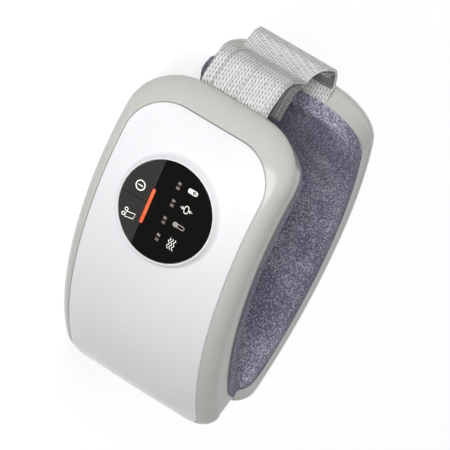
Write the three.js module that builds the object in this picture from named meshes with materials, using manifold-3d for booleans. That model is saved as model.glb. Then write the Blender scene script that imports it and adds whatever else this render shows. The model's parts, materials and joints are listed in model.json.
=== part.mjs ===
// Wrap-around joint massager: two curved half shells that meet in a hinge at the
// closed end, with plush air-bag pads inside and an elastic hook-and-loop strap
// across the open end. Millimetres, +Z up, standing on the lower rim.
//
// The halves are drawn on a plan curve. A place on a half is (s, u, d): s runs
// along the curve from its apex, positive towards the hinge, u is the height
// from mid height, and d is the depth inward from the crown of the cover.
import * as THREE from 'three';
import { mergeVertices } from 'three/addons/utils/BufferGeometryUtils.js';
import Module from 'manifold-3d';

const wasm = await Module();
wasm.setup();

// Driving dimensions

const clearance = 0.3;
const overrun = 2;

const cover = {
  start: 81,
  end: 149,
  half: 48,
  corner: 28,
  endCorner: 13,
  crown: 6.5,
  wall: 2.2,
  skirt: 4,
  edgeRound: 0.9,
  endPower: 6,
  outerShares: [1, 0.66, 0.36, 0.14],
  innerShares: [0.3, 0.65],
};

// How far the frame reaches beyond the cover.
const border = { strapEnd: 21, hingeEnd: 7, side: 9, corner: 8, endCorner: 4 };

const frame = {
  start: cover.start + border.strapEnd,
  end: cover.end + border.hingeEnd,
  half: cover.half + border.side,
  corner: cover.corner + border.corner,
  endCorner: cover.endCorner + border.endCorner,
  lipDrop: 0.4,
  lipDepth: 4.4,
  creaseDepth: 17,
  rimDepth: 33,
  rimRound: 0.8,
  wall: 2.4,
  rimWidth: 3,
  strapRimWidth: 10.9,
  flange: 2.4,
  bevelShares: [[0.4, 0.14], [0.75, 0.4], [0.94, 0.74]],
};

// The plan curve: a tighter arc towards the strap, a flatter one towards the hinge,
// set so that the two end walls keep a gap from the plane between the halves.
const hingeArc = { turn: 0.777, gap: 1.64 };
const hingeRadius = frame.end / hingeArc.turn;
const plan = {
  strapRadius: 157,
  hingeRadius,
  crownOffset: hingeRadius - (hingeRadius - frame.rimDepth) * Math.cos(hingeArc.turn) + hingeArc.gap,
};

// Depths counted back from the rim.
const beforeRim = { shell: 5.4, bar: 6, socket: 9 };

const innerShell = { depth: frame.rimDepth - beforeRim.shell, wall: 2.4 };
const heatFilm = { inset: 6, thick: 0.3 };
const airBag = { inset: 4, thick: 2.1 };
const pad = {
  edge: 2.2,
  crown: 5.5,
  seamDepth: 1.6,
  seamPlace: 34,
  seamReach: 9,
  endPower: 4,
  acrossShares: [1, 0.93, 0.78, 0.55, 0.2],
};

const panel = {
  place: -22,
  radius: 30.5,
  bossWall: 1.1,
  bossFlare: 1.4,
  proud: 1.3,
  lens: 2,
  recess: 2.4,
  seat: 3,
  keySplit: 1,
  keyThick: 1.3,
  keyTravel: 0.6,
  dome: 0.3,
  domeShares: [[0, 0], [0.5, 0.25], [0.85, 0.72]],
  barLength: 24,
  barWidth: 2.6,
  barPlace: 2,
  barHeight: -11.6,
};

const displayBoard = { radius: 25, thick: 1.2, depth: 6.4 };
const keySwitch = { side: 4, place: 9, height: -19 };

const strap = { width: 58, thick: 1.8, slotGap: 0.5 };
const strapBar = {
  radius: 1,
  inset: 7.3,
  depth: frame.rimDepth - beforeRim.bar,
  holder: 4,
  holderTop: 3,
  exit: 9,
  exitTurnShare: 0.64,
};
const nearTail = { lead: 23, reach: 8, foldRadius: 8 };
const farTail = { reach: 7, corner: 22, cornerIn: 1.5, foldRadius: 4.5 };
const gripPatch = { length: 12, thick: 0.8, width: 50 };
const lining = { thick: 0.8, width: 55, beyondBar: 10 };

const hinge = {
  beyondEnd: 6.2,
  pinRadius: 1.2,
  knuckleRadius: 3.2,
  midKnuckle: 19,
  sideKnuckle: 16,
  knuckleGap: 0.4,
  leaf: 1.4,
  leafDepth: 6.4,
  leafFromRim: 8.4,
  web: 3,
  headRadius: 2.2,
  headHeight: 1.2,
  hoodWall: 1,
  hoodHeight: 64,
  hoodShares: [-0.5, 0.38],
};

const post = { radius: 3, bore: 1.4, places: [[-66, 32], [-66, -32], [124, 34], [124, -34]] };
const screw = { headRadius: 2.5, headHeight: 1.2, shankRadius: 1.1, length: 6, counterRadius: 2.9 };

const board = { place: 37, height: -4, length: 48, tall: 38, thick: 1.6 };
const battery = { place: 85, height: 0, length: 34, tall: 50, thick: 6 };
const pump = { place: 36, height: 28, radius: 5.4, length: 30, headSide: 10.6, headLength: 8 };
const motor = {
  place: -48,
  height: -30,
  radius: 5,
  length: 13,
  shaftRadius: 0.8,
  shaft: 6,
  weightRadius: 4.4,
  weight: 4,
  gap: 0.5,
};
const valve = { place: -52, height: 22, side: 10, length: 15, bore: 2.1, plunger: 1.8, stroke: 1.2, proud: 2.4 };
const socket = {
  place: -8, width: 9, height: 3.4, corner: 1.6, body: 7, lip: 1.2,
  depth: frame.rimDepth - beforeRim.socket, wall: 0.7,
};

const steps = { corner: 7, long: 14, short: 4, round: 40, bore: 18, small: 10 };

// Places on the plan curve

function curveRadius(s) {
  return s < 0 ? plan.strapRadius : plan.hingeRadius;
}

function turnAt(s) {
  return s / curveRadius(s);
}

function placeAt(s, u, d) {
  const radius = curveRadius(s);
  const turn = turnAt(s);
  const reach = radius - d;
  return new THREE.Vector3(reach * Math.sin(turn), radius - plan.crownOffset - reach * Math.cos(turn), u);
}

// Moves a geometry drawn about its own origin to (s, u, d). Its x then runs along
// the curve, its y inward and its z up.
function seatedAt(geometry, s, u, d) {
  const spot = placeAt(s, u, d);
  return geometry.rotateZ(turnAt(s)).translate(spot.x, spot.y, spot.z);
}

// The depth of the cover's outer surface below its crown.
function coverDepth(s, u) {
  const middle = (cover.end - cover.start) / 2;
  const length = (cover.end + cover.start) / 2;
  const across = Math.min(Math.abs(u) / cover.half, 1);
  const along = Math.min(Math.abs(s - middle) / length, 1);
  return cover.crown * (1 - (1 - across ** 2) * (1 - along ** cover.endPower));
}

// Outlines: rounded rectangles in (s, u)

function outlineOf(piece) {
  return {
    start: -piece.start,
    end: piece.end,
    half: piece.half,
    corner: piece.corner,
    endCorner: piece.endCorner,
  };
}

function inset(outline, by, byStart = by, byEnd = by) {
  return {
    start: outline.start + byStart,
    end: outline.end - byEnd,
    half: outline.half - by,
    corner: Math.max(outline.corner - by, 0),
    endCorner: Math.max(outline.endCorner - by, 0),
  };
}

function between(a, b, share) {
  const mix = (key) => a[key] + (b[key] - a[key]) * share;
  return {
    start: mix('start'),
    end: mix('end'),
    half: mix('half'),
    corner: mix('corner'),
    endCorner: mix('endCorner'),
  };
}

function spineOf(outline) {
  return inset(outline, outline.half);
}

function outlinePoints(outline) {
  const { start, end, half, corner, endCorner } = outline;
  const corners = [
    [end - endCorner, endCorner - half, -Math.PI / 2, endCorner],
    [end - endCorner, half - endCorner, 0, endCorner],
    [start + corner, half - corner, Math.PI / 2, corner],
    [start + corner, corner - half, Math.PI, corner],
  ];
  const points = [];
  corners.forEach(([s, u, from, radius], index) => {
    for (let step = 0; step <= steps.corner; step += 1) {
      const angle = from + (step / steps.corner) * (Math.PI / 2);
      points.push([s + radius * Math.cos(angle), u + radius * Math.sin(angle)]);
    }
    const last = points[points.length - 1];
    const [nextS, nextU, nextFrom, nextRadius] = corners[(index + 1) % corners.length];
    const target = [nextS + nextRadius * Math.cos(nextFrom), nextU + nextRadius * Math.sin(nextFrom)];
    const count = index % 2 === 0 ? steps.short : steps.long;
    for (let step = 1; step < count; step += 1) {
      const share = step / count;
      points.push([last[0] + (target[0] - last[0]) * share, last[1] + (target[1] - last[1]) * share]);
    }
  });
  return points;
}

// A ring of places: an outline laid at a depth, which may be a function of (s, u).
function ringAt(outline, depth) {
  const depthOf = typeof depth === 'function' ? depth : () => depth;
  return outlinePoints(outline).map(([s, u]) => placeAt(s, u, depthOf(s, u)));
}

// Solids

function geometryFrom(positions, index) {
  const raw = new THREE.BufferGeometry();
  raw.setAttribute('position', new THREE.Float32BufferAttribute(positions, 3));
  raw.setIndex(index);
  const merged = mergeVertices(raw);
  const kept = [];
  const old = merged.index.array;
  for (let i = 0; i < old.length; i += 3) {
    const [a, b, c] = [old[i], old[i + 1], old[i + 2]];
    if (a !== b && b !== c && c !== a) {
      kept.push(a, b, c);
    }
  }
  merged.setIndex(kept);
  return outward(merged);
}

function signedVolume(geometry) {
  const at = geometry.attributes.position;
  const index = geometry.index.array;
  const [a, b, c] = [new THREE.Vector3(), new THREE.Vector3(), new THREE.Vector3()];
  let sum = 0;
  for (let i = 0; i < index.length; i += 3) {
    a.fromBufferAttribute(at, index[i]);
    b.fromBufferAttribute(at, index[i + 1]);
    c.fromBufferAttribute(at, index[i + 2]);
    sum += a.dot(b.cross(c));
  }
  return sum;
}

function flipped(geometry) {
  const index = Array.from(geometry.index.array);
  for (let i = 0; i < index.length; i += 3) {
    [index[i], index[i + 1]] = [index[i + 1], index[i]];
  }
  geometry.setIndex(index);
  return geometry;
}

function outward(geometry) {
  return signedVolume(geometry) < 0 ? flipped(geometry) : geometry;
}

// Joins rings of equal count into one closed surface. A looped one ends where it
// started; otherwise its first and last rings are spines that close by themselves.
function loft(rings, looped = false) {
  const count = rings[0].length;
  const positions = rings.flat().flatMap((point) => point.toArray());
  const index = [];
  const bands = looped ? rings.length : rings.length - 1;
  for (let band = 0; band < bands; band += 1) {
    const low = band * count;
    const high = ((band + 1) % rings.length) * count;
    for (let i = 0; i < count; i += 1) {
      const next = (i + 1) % count;
      index.push(low + i, low + next, high + i, low + next, high + next, high + i);
    }
  }
  return geometryFrom(positions, index);
}

function solidOf(geometry) {
  const bare = geometry.index ? geometry.toNonIndexed() : geometry.clone();
  bare.deleteAttribute('normal');
  bare.deleteAttribute('uv');
  const merged = mergeVertices(bare);
  const mesh = new wasm.Mesh({
    numProp: 3,
    vertProperties: new Float32Array(merged.attributes.position.array),
    triVerts: new Uint32Array(merged.index.array),
  });
  return new wasm.Manifold(mesh);
}

function geometryOf(solid) {
  const mesh = solid.getMesh();
  const geometry = new THREE.BufferGeometry();
  geometry.setAttribute('position', new THREE.Float32BufferAttribute(mesh.vertProperties, 3));
  geometry.setIndex(Array.from(mesh.triVerts));
  return geometry;
}

function joined(base, additions) {
  return geometryOf(additions.reduce((solid, piece) => solid.add(solidOf(piece)), solidOf(base)));
}

function cut(base, tools) {
  return geometryOf(tools.reduce((solid, tool) => solid.subtract(solidOf(tool)), solidOf(base)));
}

function mirrored(geometry) {
  const copy = geometry.clone();
  copy.deleteAttribute('normal');
  copy.deleteAttribute('uv');
  const bare = copy.index ? copy : mergeVertices(copy);
  return flipped(bare.scale(1, -1, 1));
}

function rod(radius, length, sides = steps.bore) {
  return new THREE.CylinderGeometry(radius, radius, length, sides);
}

function uprightRod(radius, length, sides = steps.bore) {
  return rod(radius, length, sides).rotateX(Math.PI / 2);
}

function box(x, y, z) {
  return new THREE.BoxGeometry(x, y, z);
}

function slab(shape, height) {
  return new THREE.ExtrudeGeometry(shape, { depth: height, bevelEnabled: false, curveSegments: steps.small })
    .translate(0, 0, -height / 2);
}

// Half shell pieces

function coverShell() {
  const edge = outlineOf(cover);
  const outer = cover.outerShares.map((share) => [inset(edge, cover.half * share), coverDepth]);
  const under = (by) => (s, u) => coverDepth(s, u) + by;
  const inner = inset(edge, cover.wall);
  const rings = [
    ...outer.map(([outline, depth]) => ringAt(outline, depth)),
    ringAt(inset(edge, cover.edgeRound), coverDepth),
    ringAt(edge, under(cover.edgeRound)),
    ringAt(edge, under(cover.skirt)),
    ringAt(inner, under(cover.skirt)),
    ringAt(inner, under(cover.wall)),
    ...cover.innerShares.map((share) => ringAt(inset(edge, cover.half * share), under(cover.wall))),
    ringAt(spineOf(edge), under(cover.wall)),
  ];
  return loft(rings);
}

function coverPosts() {
  return post.places.map(([s, u]) => {
    const top = coverDepth(s, u) + cover.wall / 2;
    const length = innerShell.depth - clearance - top;
    return seatedAt(rod(post.radius, length), s, u, top + length / 2);
  });
}

function postBores() {
  const length = screw.length + overrun;
  return post.places.map(([s, u]) => seatedAt(rod(post.bore, length, steps.small), s, u,
    innerShell.depth - screw.length / 2 + clearance));
}

function coverWithPosts() {
  return cut(joined(coverShell(), coverPosts()), postBores());
}

function frameRing() {
  const inside = inset(outlineOf(cover), -clearance);
  const outside = outlineOf(frame);
  const lip = (s, u) => coverDepth(s, u) + frame.lipDrop;
  const bevel = ([across, deep]) => ringAt(between(inside, outside, across),
    (s, u) => lip(s, u) + (frame.creaseDepth - lip(s, u)) * deep);
  const innerBevel = ([across, deep]) => ringAt(between(inside, inset(outside, frame.wall), across),
    (s, u) => lip(s, u) + frame.lipDepth + (frame.creaseDepth - lip(s, u) - frame.lipDepth + frame.wall) * deep);
  const rim = inset(outside, frame.rimWidth, frame.strapRimWidth, frame.rimWidth);
  const wallInside = inset(outside, frame.wall);
  const rings = [
    ringAt(inside, lip),
    ...frame.bevelShares.map(bevel),
    ringAt(outside, frame.creaseDepth),
    ringAt(outside, frame.rimDepth - frame.rimRound),
    ringAt(inset(outside, frame.rimRound), frame.rimDepth),
    ringAt(rim, frame.rimDepth),
    ringAt(rim, frame.rimDepth - frame.flange),
    ringAt(wallInside, frame.rimDepth - frame.flange),
    ringAt(wallInside, frame.creaseDepth + frame.wall),
    innerBevel(frame.bevelShares[1]),
    ringAt(inside, (s, u) => lip(s, u) + frame.lipDepth),
  ];
  return loft(rings, true);
}

// The half height of a rounded outline at each of its stations along the curve.
function stationsOf(outline) {
  const { start, end, half, corner, endCorner } = outline;
  const stations = [];
  for (let step = 0; step <= steps.corner; step += 1) {
    const angle = (step / steps.corner) * (Math.PI / 2);
    stations.push([start + corner - corner * Math.cos(angle), half - corner + corner * Math.sin(angle)]);
  }
  for (let step = 1; step < steps.long; step += 1) {
    stations.push([start + corner + (end - start - corner - endCorner) * (step / steps.long), half]);
  }
  for (let step = steps.corner; step >= 0; step -= 1) {
    const angle = (step / steps.corner) * (Math.PI / 2);
    const reach = [endCorner * Math.cos(angle), endCorner * Math.sin(angle)];
    stations.push([end - endCorner + reach[0], half - endCorner + reach[1]]);
  }
  return stations;
}

// A closed body of one cross-section a station, each a ring of [share of the half
// height, depth], with both ends closed at their middles.
function stationLoft(outline, sectionAt) {
  const rings = stationsOf(outline).map(([s, half]) => sectionAt(s, half)
    .map(([share, depth]) => placeAt(s, share * half, depth)));
  const endCap = (ring) => {
    const centre = ring.reduce((sum, point) => sum.add(point), new THREE.Vector3()).divideScalar(ring.length);
    return ring.map(() => centre);
  };
  return loft([endCap(rings[0]), ...rings, endCap(rings[rings.length - 1])]);
}

function plate(outline, from, thick) {
  return stationLoft(outline, () => [[-1, from], [1, from], [1, from + thick], [-1, from + thick]]);
}

function wellOutline(by) {
  const side = frame.rimWidth + clearance + by;
  return inset(outlineOf(frame), side, frame.strapRimWidth + clearance + by, side);
}

function innerShellPlate() {
  const base = plate(wellOutline(0), innerShell.depth, innerShell.wall);
  const holes = post.places.flatMap(([s, u]) => [
    seatedAt(rod(post.bore, innerShell.wall * 2 + overrun, steps.small), s, u, innerShell.depth),
    seatedAt(rod(screw.counterRadius, overrun * 2, steps.small), s, u,
      innerShell.depth + innerShell.wall - screw.headHeight - clearance + overrun),
  ]);
  return cut(base, holes);
}

const filmDepth = innerShell.depth + innerShell.wall + clearance;
const bagDepth = filmDepth + heatFilm.thick + clearance;
const padDepth = bagDepth + airBag.thick + clearance;

// The pad swells between its edges and dips in a sewn channel across its middle.
function padFront(s, u) {
  const outline = wellOutline(0);
  const middle = (outline.start + outline.end) / 2;
  const length = (outline.end - outline.start) / 2;
  const across = Math.min(Math.abs(u) / outline.half, 1);
  const along = Math.min(Math.abs(s - middle) / length, 1);
  const swell = (1 - across ** 2) * (1 - along ** pad.endPower);
  const channel = pad.seamDepth * Math.exp(-(((s - pad.seamPlace) / pad.seamReach) ** 2)) * (1 - across ** 2);
  return padDepth + pad.edge + pad.crown * swell - channel;
}

function plushPad() {
  const front = pad.acrossShares;
  return stationLoft(wellOutline(0), (s, half) => [
    [-1, padDepth],
    [1, padDepth],
    ...front.map((share) => [share, padFront(s, share * half)]),
    ...[...front].reverse().map((share) => [-share, padFront(s, share * half)]),
  ]);
}

// Panel

// Moves a geometry drawn on the panel's own face to the panel. Its x runs along
// the curve, its z up, and its y inward from the face of the lens.
function onPanel(geometry) {
  return seatedAt(geometry, panel.place, 0, -panel.proud);
}

function turned(points) {
  return new THREE.LatheGeometry(points.map(([r, y]) => new THREE.Vector2(r, y)), steps.round);
}

function bossBody() {
  const top = panel.radius + clearance + panel.bossWall;
  const foot = panel.proud + cover.wall + panel.seat;
  return onPanel(turned([[0, clearance], [top - clearance, clearance], [top, clearance * 2],
    [top + panel.bossFlare, foot], [0, foot]]));
}

function bossRecess() {
  return onPanel(turned([[0, -overrun], [panel.radius + clearance, -overrun],
    [panel.radius + clearance, panel.recess + clearance], [0, panel.recess + clearance]]));
}

function bossHole() {
  const reach = panel.radius - panel.seat;
  const depth = panel.proud + cover.wall + panel.seat + overrun;
  return onPanel(turned([[0, 0], [reach, 0], [reach, depth], [0, depth]]));
}

function panelCover() {
  const whole = joined(coverShell(), [bossBody(), ...coverPosts()]);
  return cut(whole, [bossRecess(), bossHole(), ...postBores()]);
}

// The lens, whole, as a disc with a slightly domed face.
function lensDisc(thick) {
  const rise = panel.dome;
  const face = panel.domeShares.map(([out, down]) => [panel.radius * out, rise * down]);
  return turned([...face, [panel.radius - rise, rise], [panel.radius, rise * 2], [panel.radius, thick], [0, thick]]);
}

function barShape(margin) {
  const radius = panel.barWidth / 2 + margin;
  const reach = (panel.barLength - panel.barWidth) / 2;
  const shape = new THREE.Shape();
  shape.absarc(reach, 0, radius, -Math.PI / 2, Math.PI / 2, false);
  shape.absarc(-reach, 0, radius, Math.PI / 2, Math.PI * 1.5, false);
  shape.closePath();
  return shape;
}

function barBody(margin, from, thick) {
  return slab(barShape(margin), thick).rotateX(-Math.PI / 2)
    .translate(panel.barPlace, from + thick / 2, panel.barHeight);
}

// The slot round the light bar, which lies half in the lens and half in the keys.
function barSlot() {
  return barBody(clearance, -overrun, panel.lens + overrun * 2);
}

// A block that covers the key side of the panel, below the middle of the light bar.
function keyBlock(fromX, toX, top) {
  const depth = panel.radius * 2;
  return box(toX - fromX, depth, depth).translate((fromX + toX) / 2, 0, top - depth / 2);
}

function lens() {
  const keys = keyBlock(-panel.radius * 2, panel.radius * 2, panel.barHeight + clearance / 2);
  return onPanel(cut(lensDisc(panel.lens), [keys, barSlot()]));
}

function key(fromX, toX) {
  const block = keyBlock(fromX, toX, panel.barHeight - clearance / 2);
  return onPanel(cut(geometryOf(solidOf(lensDisc(panel.keyThick)).intersect(solidOf(block))), [barSlot()]));
}

function powerKey() {
  return key(-panel.radius * 2, panel.keySplit - clearance / 2);
}

function modeKey() {
  return key(panel.keySplit + clearance / 2, panel.radius * 2);
}

function lightBar() {
  return onPanel(barBody(0, panel.dome, panel.lens - panel.dome));
}

function displayBoardBody() {
  const disc = rod(displayBoard.radius, displayBoard.thick, steps.round)
    .translate(0, displayBoard.depth + displayBoard.thick / 2, 0);
  const top = panel.keyThick + panel.keyTravel + clearance;
  const height = displayBoard.depth - top + clearance;
  const places = [panel.keySplit - keySwitch.place, panel.keySplit + keySwitch.place];
  const switches = places.map((x) => box(keySwitch.side, height, keySwitch.side)
    .translate(x, top + height / 2, keySwitch.height));
  return onPanel(joined(disc, switches));
}

// Inner pieces, seated on the outer face of the inner shell

function onShell(geometry, spot, halfThick) {
  return seatedAt(geometry, spot.place, spot.height, innerShell.depth - clearance - halfThick);
}

function mainBoard() {
  return onShell(box(board.length, board.thick, board.tall), board, board.thick / 2);
}

function batteryPack() {
  return onShell(box(battery.length, battery.thick, battery.tall), battery, battery.thick / 2);
}

function airPump() {
  const body = rod(pump.radius, pump.length).rotateZ(Math.PI / 2);
  const head = box(pump.headLength, pump.headSide, pump.headSide)
    .translate((pump.length + pump.headLength) / 2 - clearance, 0, 0);
  return onShell(joined(body, [head]), pump, pump.radius);
}

function motorCan() {
  const can = rod(motor.radius, motor.length).rotateZ(Math.PI / 2);
  const shaft = rod(motor.shaftRadius, motor.shaft, steps.small).rotateZ(Math.PI / 2)
    .translate((motor.length + motor.shaft) / 2 - clearance, 0, 0);
  return onShell(joined(can, [shaft]), motor, motor.radius);
}

// A half disc on the motor shaft, heavy on one side.
function motorWeight() {
  const shape = new THREE.Shape();
  shape.absarc(0, 0, motor.weightRadius, Math.PI, Math.PI * 2, false);
  shape.lineTo(motor.shaftRadius * 2, 0);
  shape.absarc(0, 0, motor.shaftRadius * 2, 0, Math.PI, false);
  shape.closePath();
  const hole = new THREE.Path();
  hole.absarc(0, 0, motor.shaftRadius + clearance, 0, Math.PI * 2, true);
  shape.holes.push(hole);
  const place = motor.length / 2 + motor.gap + motor.weight / 2;
  return onShell(slab(shape, motor.weight).rotateY(Math.PI / 2).translate(place, 0, 0), motor, motor.radius);
}

function valveBody() {
  const body = box(valve.length, valve.side, valve.side);
  const bore = rod(valve.bore, valve.length, steps.small).rotateZ(Math.PI / 2).translate(-valve.length / 4, 0, 0);
  return onShell(cut(body, [bore]), valve, valve.side / 2);
}

function valvePlunger() {
  const back = valve.length / 4 - valve.stroke - clearance;
  const front = -valve.length / 2 - valve.proud;
  const stem = rod(valve.plunger, back - front, steps.small).rotateZ(Math.PI / 2)
    .translate((back + front) / 2, 0, 0);
  return onShell(stem, valve, valve.side / 2);
}

function shellScrew([s, u]) {
  const seat = innerShell.depth + innerShell.wall - screw.headHeight;
  const head = rod(screw.headRadius, screw.headHeight, steps.small).translate(0, screw.headHeight / 2, 0);
  const shank = rod(screw.shankRadius, screw.length, steps.small).translate(0, clearance - screw.length / 2, 0);
  return seatedAt(joined(head, [shank]), s, u, seat);
}

// Charging socket in the lower side wall of the near frame

function socketShape(margin) {
  const [x, y] = [socket.width / 2 + margin, socket.height / 2 + margin];
  const r = socket.corner + margin;
  const shape = new THREE.Shape();
  shape.absarc(x - r, y - r, r, 0, Math.PI / 2, false);
  shape.absarc(r - x, y - r, r, Math.PI / 2, Math.PI, false);
  shape.absarc(r - x, r - y, r, Math.PI, Math.PI * 1.5, false);
  shape.absarc(x - r, r - y, r, Math.PI * 1.5, Math.PI * 2, false);
  shape.closePath();
  return shape;
}

function socketHole() {
  const height = frame.wall + overrun * 2;
  return seatedAt(slab(socketShape(socket.wall + clearance), height), socket.place, -frame.half, socket.depth);
}

function socketBody() {
  const outer = slab(socketShape(socket.wall), socket.body);
  const mouth = slab(socketShape(0), socket.body).translate(0, 0, -socket.lip);
  const tongue = box(socket.width - socket.height, socket.wall, socket.body - socket.lip)
    .translate(0, 0, socket.lip / 2);
  const shell = joined(cut(outer, [mouth]), [tongue]);
  return seatedAt(shell, socket.place, socket.lip / 4 + socket.body / 2 - frame.half, socket.depth);
}

// Strap anchors at the open end

const barPlace = strapBar.inset - frame.start;
const loopRadius = strapBar.radius + clearance + strap.thick;
const strapDepth = strapBar.depth + strapBar.radius + clearance + strap.thick / 2;

function strapBarRod() {
  const length = strap.width + strapBar.holder * 2;
  return seatedAt(uprightRod(strapBar.radius, length, steps.small), barPlace, 0, strapBar.depth);
}

function barHolders() {
  const deep = frame.rimDepth - frame.flange / 2;
  const from = strapBar.depth - strapBar.holderTop;
  const along = loopRadius * 2;
  const lift = strap.width / 2 + strapBar.holder / 2 + clearance * 2;
  return [-1, 1].map((side) => seatedAt(box(along, deep - from, strapBar.holder), barPlace, side * lift,
    (deep + from) / 2));
}

function barBores() {
  const length = strap.width + strapBar.holder * 2 + clearance * 2;
  return [seatedAt(uprightRod(strapBar.radius + clearance / 2, length, steps.small), barPlace, 0, strapBar.depth)];
}

function strapSlot() {
  const thick = strap.thick + strap.slotGap * 2;
  const long = frame.wall * 2 + overrun;
  return seatedAt(box(long, thick, strap.width + strap.slotGap * 2), -frame.start, 0, strapDepth);
}

function strapFrame() {
  return cut(joined(frameRing(), barHolders()), [...barBores(), strapSlot()]);
}

// Straps: flat webbing drawn in plan and extruded to its width

function ribbonShape(path, thick) {
  const left = [];
  const right = [];
  path.forEach((point, index) => {
    const before = path[Math.max(index - 1, 0)];
    const after = path[Math.min(index + 1, path.length - 1)];
    const along = new THREE.Vector2().subVectors(after, before).normalize();
    const side = new THREE.Vector2(-along.y, along.x).multiplyScalar(thick / 2);
    left.push(point.clone().add(side));
    right.push(point.clone().sub(side));
  });
  return new THREE.Shape([...left, ...right.reverse()]);
}

// A plan path through corner points, with each corner rounded to its radius.
function roundedPath(corners) {
  const path = [corners[0].at];
  for (let i = 1; i < corners.length - 1; i += 1) {
    const { at, radius } = corners[i];
    const back = new THREE.Vector2().subVectors(corners[i - 1].at, at).normalize();
    const on = new THREE.Vector2().subVectors(corners[i + 1].at, at).normalize();
    const angle = Math.acos(THREE.MathUtils.clamp(back.dot(on), -1, 1));
    const reach = radius / Math.tan(angle / 2);
    const from = at.clone().addScaledVector(back, reach);
    const to = at.clone().addScaledVector(on, reach);
    for (let step = 0; step <= steps.small; step += 1) {
      const share = step / steps.small;
      const curve = new THREE.QuadraticBezierCurve(from, at, to);
      path.push(curve.getPoint(share));
    }
  }
  path.push(corners[corners.length - 1].at);
  return path;
}

function anchorPoint(depth) {
  const spot = placeAt(barPlace, 0, depth);
  return new THREE.Vector2(spot.x, spot.y);
}

function exitPoint(beyond) {
  const start = anchorPoint(strapDepth);
  const turn = turnAt(barPlace);
  return new THREE.Vector2(start.x - beyond * Math.cos(turn), start.y - beyond * Math.sin(turn));
}

// The pin stands on the plane between the halves, a named distance beyond their
// end walls, which settles its depth.
const hingeTurn = turnAt(frame.end);
const hingeReach = (plan.hingeRadius - plan.crownOffset + hinge.beyondEnd * Math.sin(hingeTurn)) / Math.cos(hingeTurn);
const hingeDepth = plan.hingeRadius - hingeReach;
const pivot = new THREE.Vector2(hingeReach * Math.sin(hingeTurn) + hinge.beyondEnd * Math.cos(hingeTurn), 0);

// A point of the overlap, which lies on an arc about the hinge so that the two
// tails slide along each other as the halves open.
function overlapPoint(y, radius) {
  const rise = y - pivot.y;
  return new THREE.Vector2(pivot.x - Math.sqrt(radius ** 2 - rise ** 2), y);
}


// A point beyond the frame's wall, where the strap turns a little outward.
function beyondExit(distance) {
  const turn = turnAt(barPlace) * strapBar.exitTurnShare;
  const from = exitPoint(strapBar.exit);
  return new THREE.Vector2(from.x - distance * Math.cos(turn), from.y - distance * Math.sin(turn));
}

const foldPoint = beyondExit(nearTail.lead);
const outerRadius = pivot.distanceTo(foldPoint);

function arcPath(fromY, toY, radius) {
  const path = [];
  for (let step = 0; step <= steps.small; step += 1) {
    path.push(overlapPoint(fromY + (toY - fromY) * (step / steps.small), radius));
  }
  return path;
}

function strapLoop() {
  const shape = new THREE.Shape();
  shape.absarc(0, 0, loopRadius, 0, Math.PI * 2, false);
  const hole = new THREE.Path();
  hole.absarc(0, 0, strapBar.radius + clearance, 0, Math.PI * 2, true);
  shape.holes.push(hole);
  return seatedAt(slab(shape, strap.width), barPlace, 0, strapBar.depth);
}

// The near strap's path in plan, up to a height y of the overlap.
function nearPath(toY) {
  const afterFold = foldPoint.y + nearTail.foldRadius;
  const lead = roundedPath([
    { at: anchorPoint(strapDepth) },
    { at: exitPoint(strapBar.exit), radius: nearTail.foldRadius },
    { at: foldPoint, radius: nearTail.foldRadius },
    { at: overlapPoint(afterFold, outerRadius) },
  ]);
  return [...lead, ...arcPath(afterFold, toY, outerRadius).slice(1)];
}

function farPath(toY) {
  const radius = outerRadius - strap.thick - gripPatch.thick * 2 - clearance * 3;
  const across = (point) => new THREE.Vector2(point.x, -point.y);
  const lead = roundedPath([
    { at: across(anchorPoint(strapDepth)) },
    { at: across(exitPoint(strapBar.exit)), radius: farTail.foldRadius },
    { at: new THREE.Vector2(foldPoint.x + farTail.cornerIn, farTail.corner), radius: farTail.foldRadius },
    { at: overlapPoint(nearTail.reach + farTail.foldRadius, radius), radius: farTail.foldRadius },
    { at: overlapPoint(nearTail.reach, radius) },
  ]);
  return [...lead, ...arcPath(nearTail.reach, toY, radius).slice(1)];
}

function strapOn(path, loop) {
  return joined(loop, [slab(ribbonShape(path, strap.thick), strap.width)]);
}

// A soft lining on the inner face of a strap, which lies on one side of its path.
function liningOn(path, side) {
  const offset = side * (strap.thick / 2 + clearance + lining.thick / 2);
  const moved = path.map((point, index) => {
    const before = path[Math.max(index - 1, 0)];
    const after = path[Math.min(index + 1, path.length - 1)];
    const along = new THREE.Vector2().subVectors(after, before).normalize();
    return new THREE.Vector2(point.x - along.y * offset, point.y + along.x * offset);
  });
  return slab(ribbonShape(moved, lining.thick), lining.width);
}

// The part of a path that lies further than a distance from its start.
function beyond(path, distance) {
  return path.filter((point) => point.distanceTo(path[0]) > distance);
}

function nearLining() {
  return liningOn(beyond(nearPath(nearTail.reach - clearance * 2 - gripPatch.length), lining.beyondBar), -1);
}

function farLining() {
  return liningOn(beyond(farPath(-farTail.reach), lining.beyondBar), 1);
}

function patchOn(radius, fromY) {
  const path = arcPath(fromY, fromY - gripPatch.length, radius);
  return slab(ribbonShape(path, gripPatch.thick), gripPatch.width);
}

const hookRadius = outerRadius - strap.thick / 2 - clearance - gripPatch.thick / 2;

function hookPatch() {
  return patchOn(hookRadius, nearTail.reach - clearance);
}

function loopPatch() {
  return patchOn(hookRadius - gripPatch.thick - clearance, nearTail.reach - clearance);
}

// Hinge

function uprightAtPivot(geometry, height) {
  return geometry.translate(pivot.x, pivot.y, height);
}

const sideCentre = hinge.midKnuckle / 2 + hinge.knuckleGap + hinge.sideKnuckle / 2;

function knuckle(length, height) {
  const barrel = uprightAtPivot(uprightRod(hinge.knuckleRadius, length), height);
  const reach = hinge.beyondEnd - clearance;
  const web = box(reach, hinge.web, length).translate(clearance + reach / 2, 0, height);
  return joined(barrel, [seatedAt(web, frame.end, 0, hingeDepth)]);
}

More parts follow.
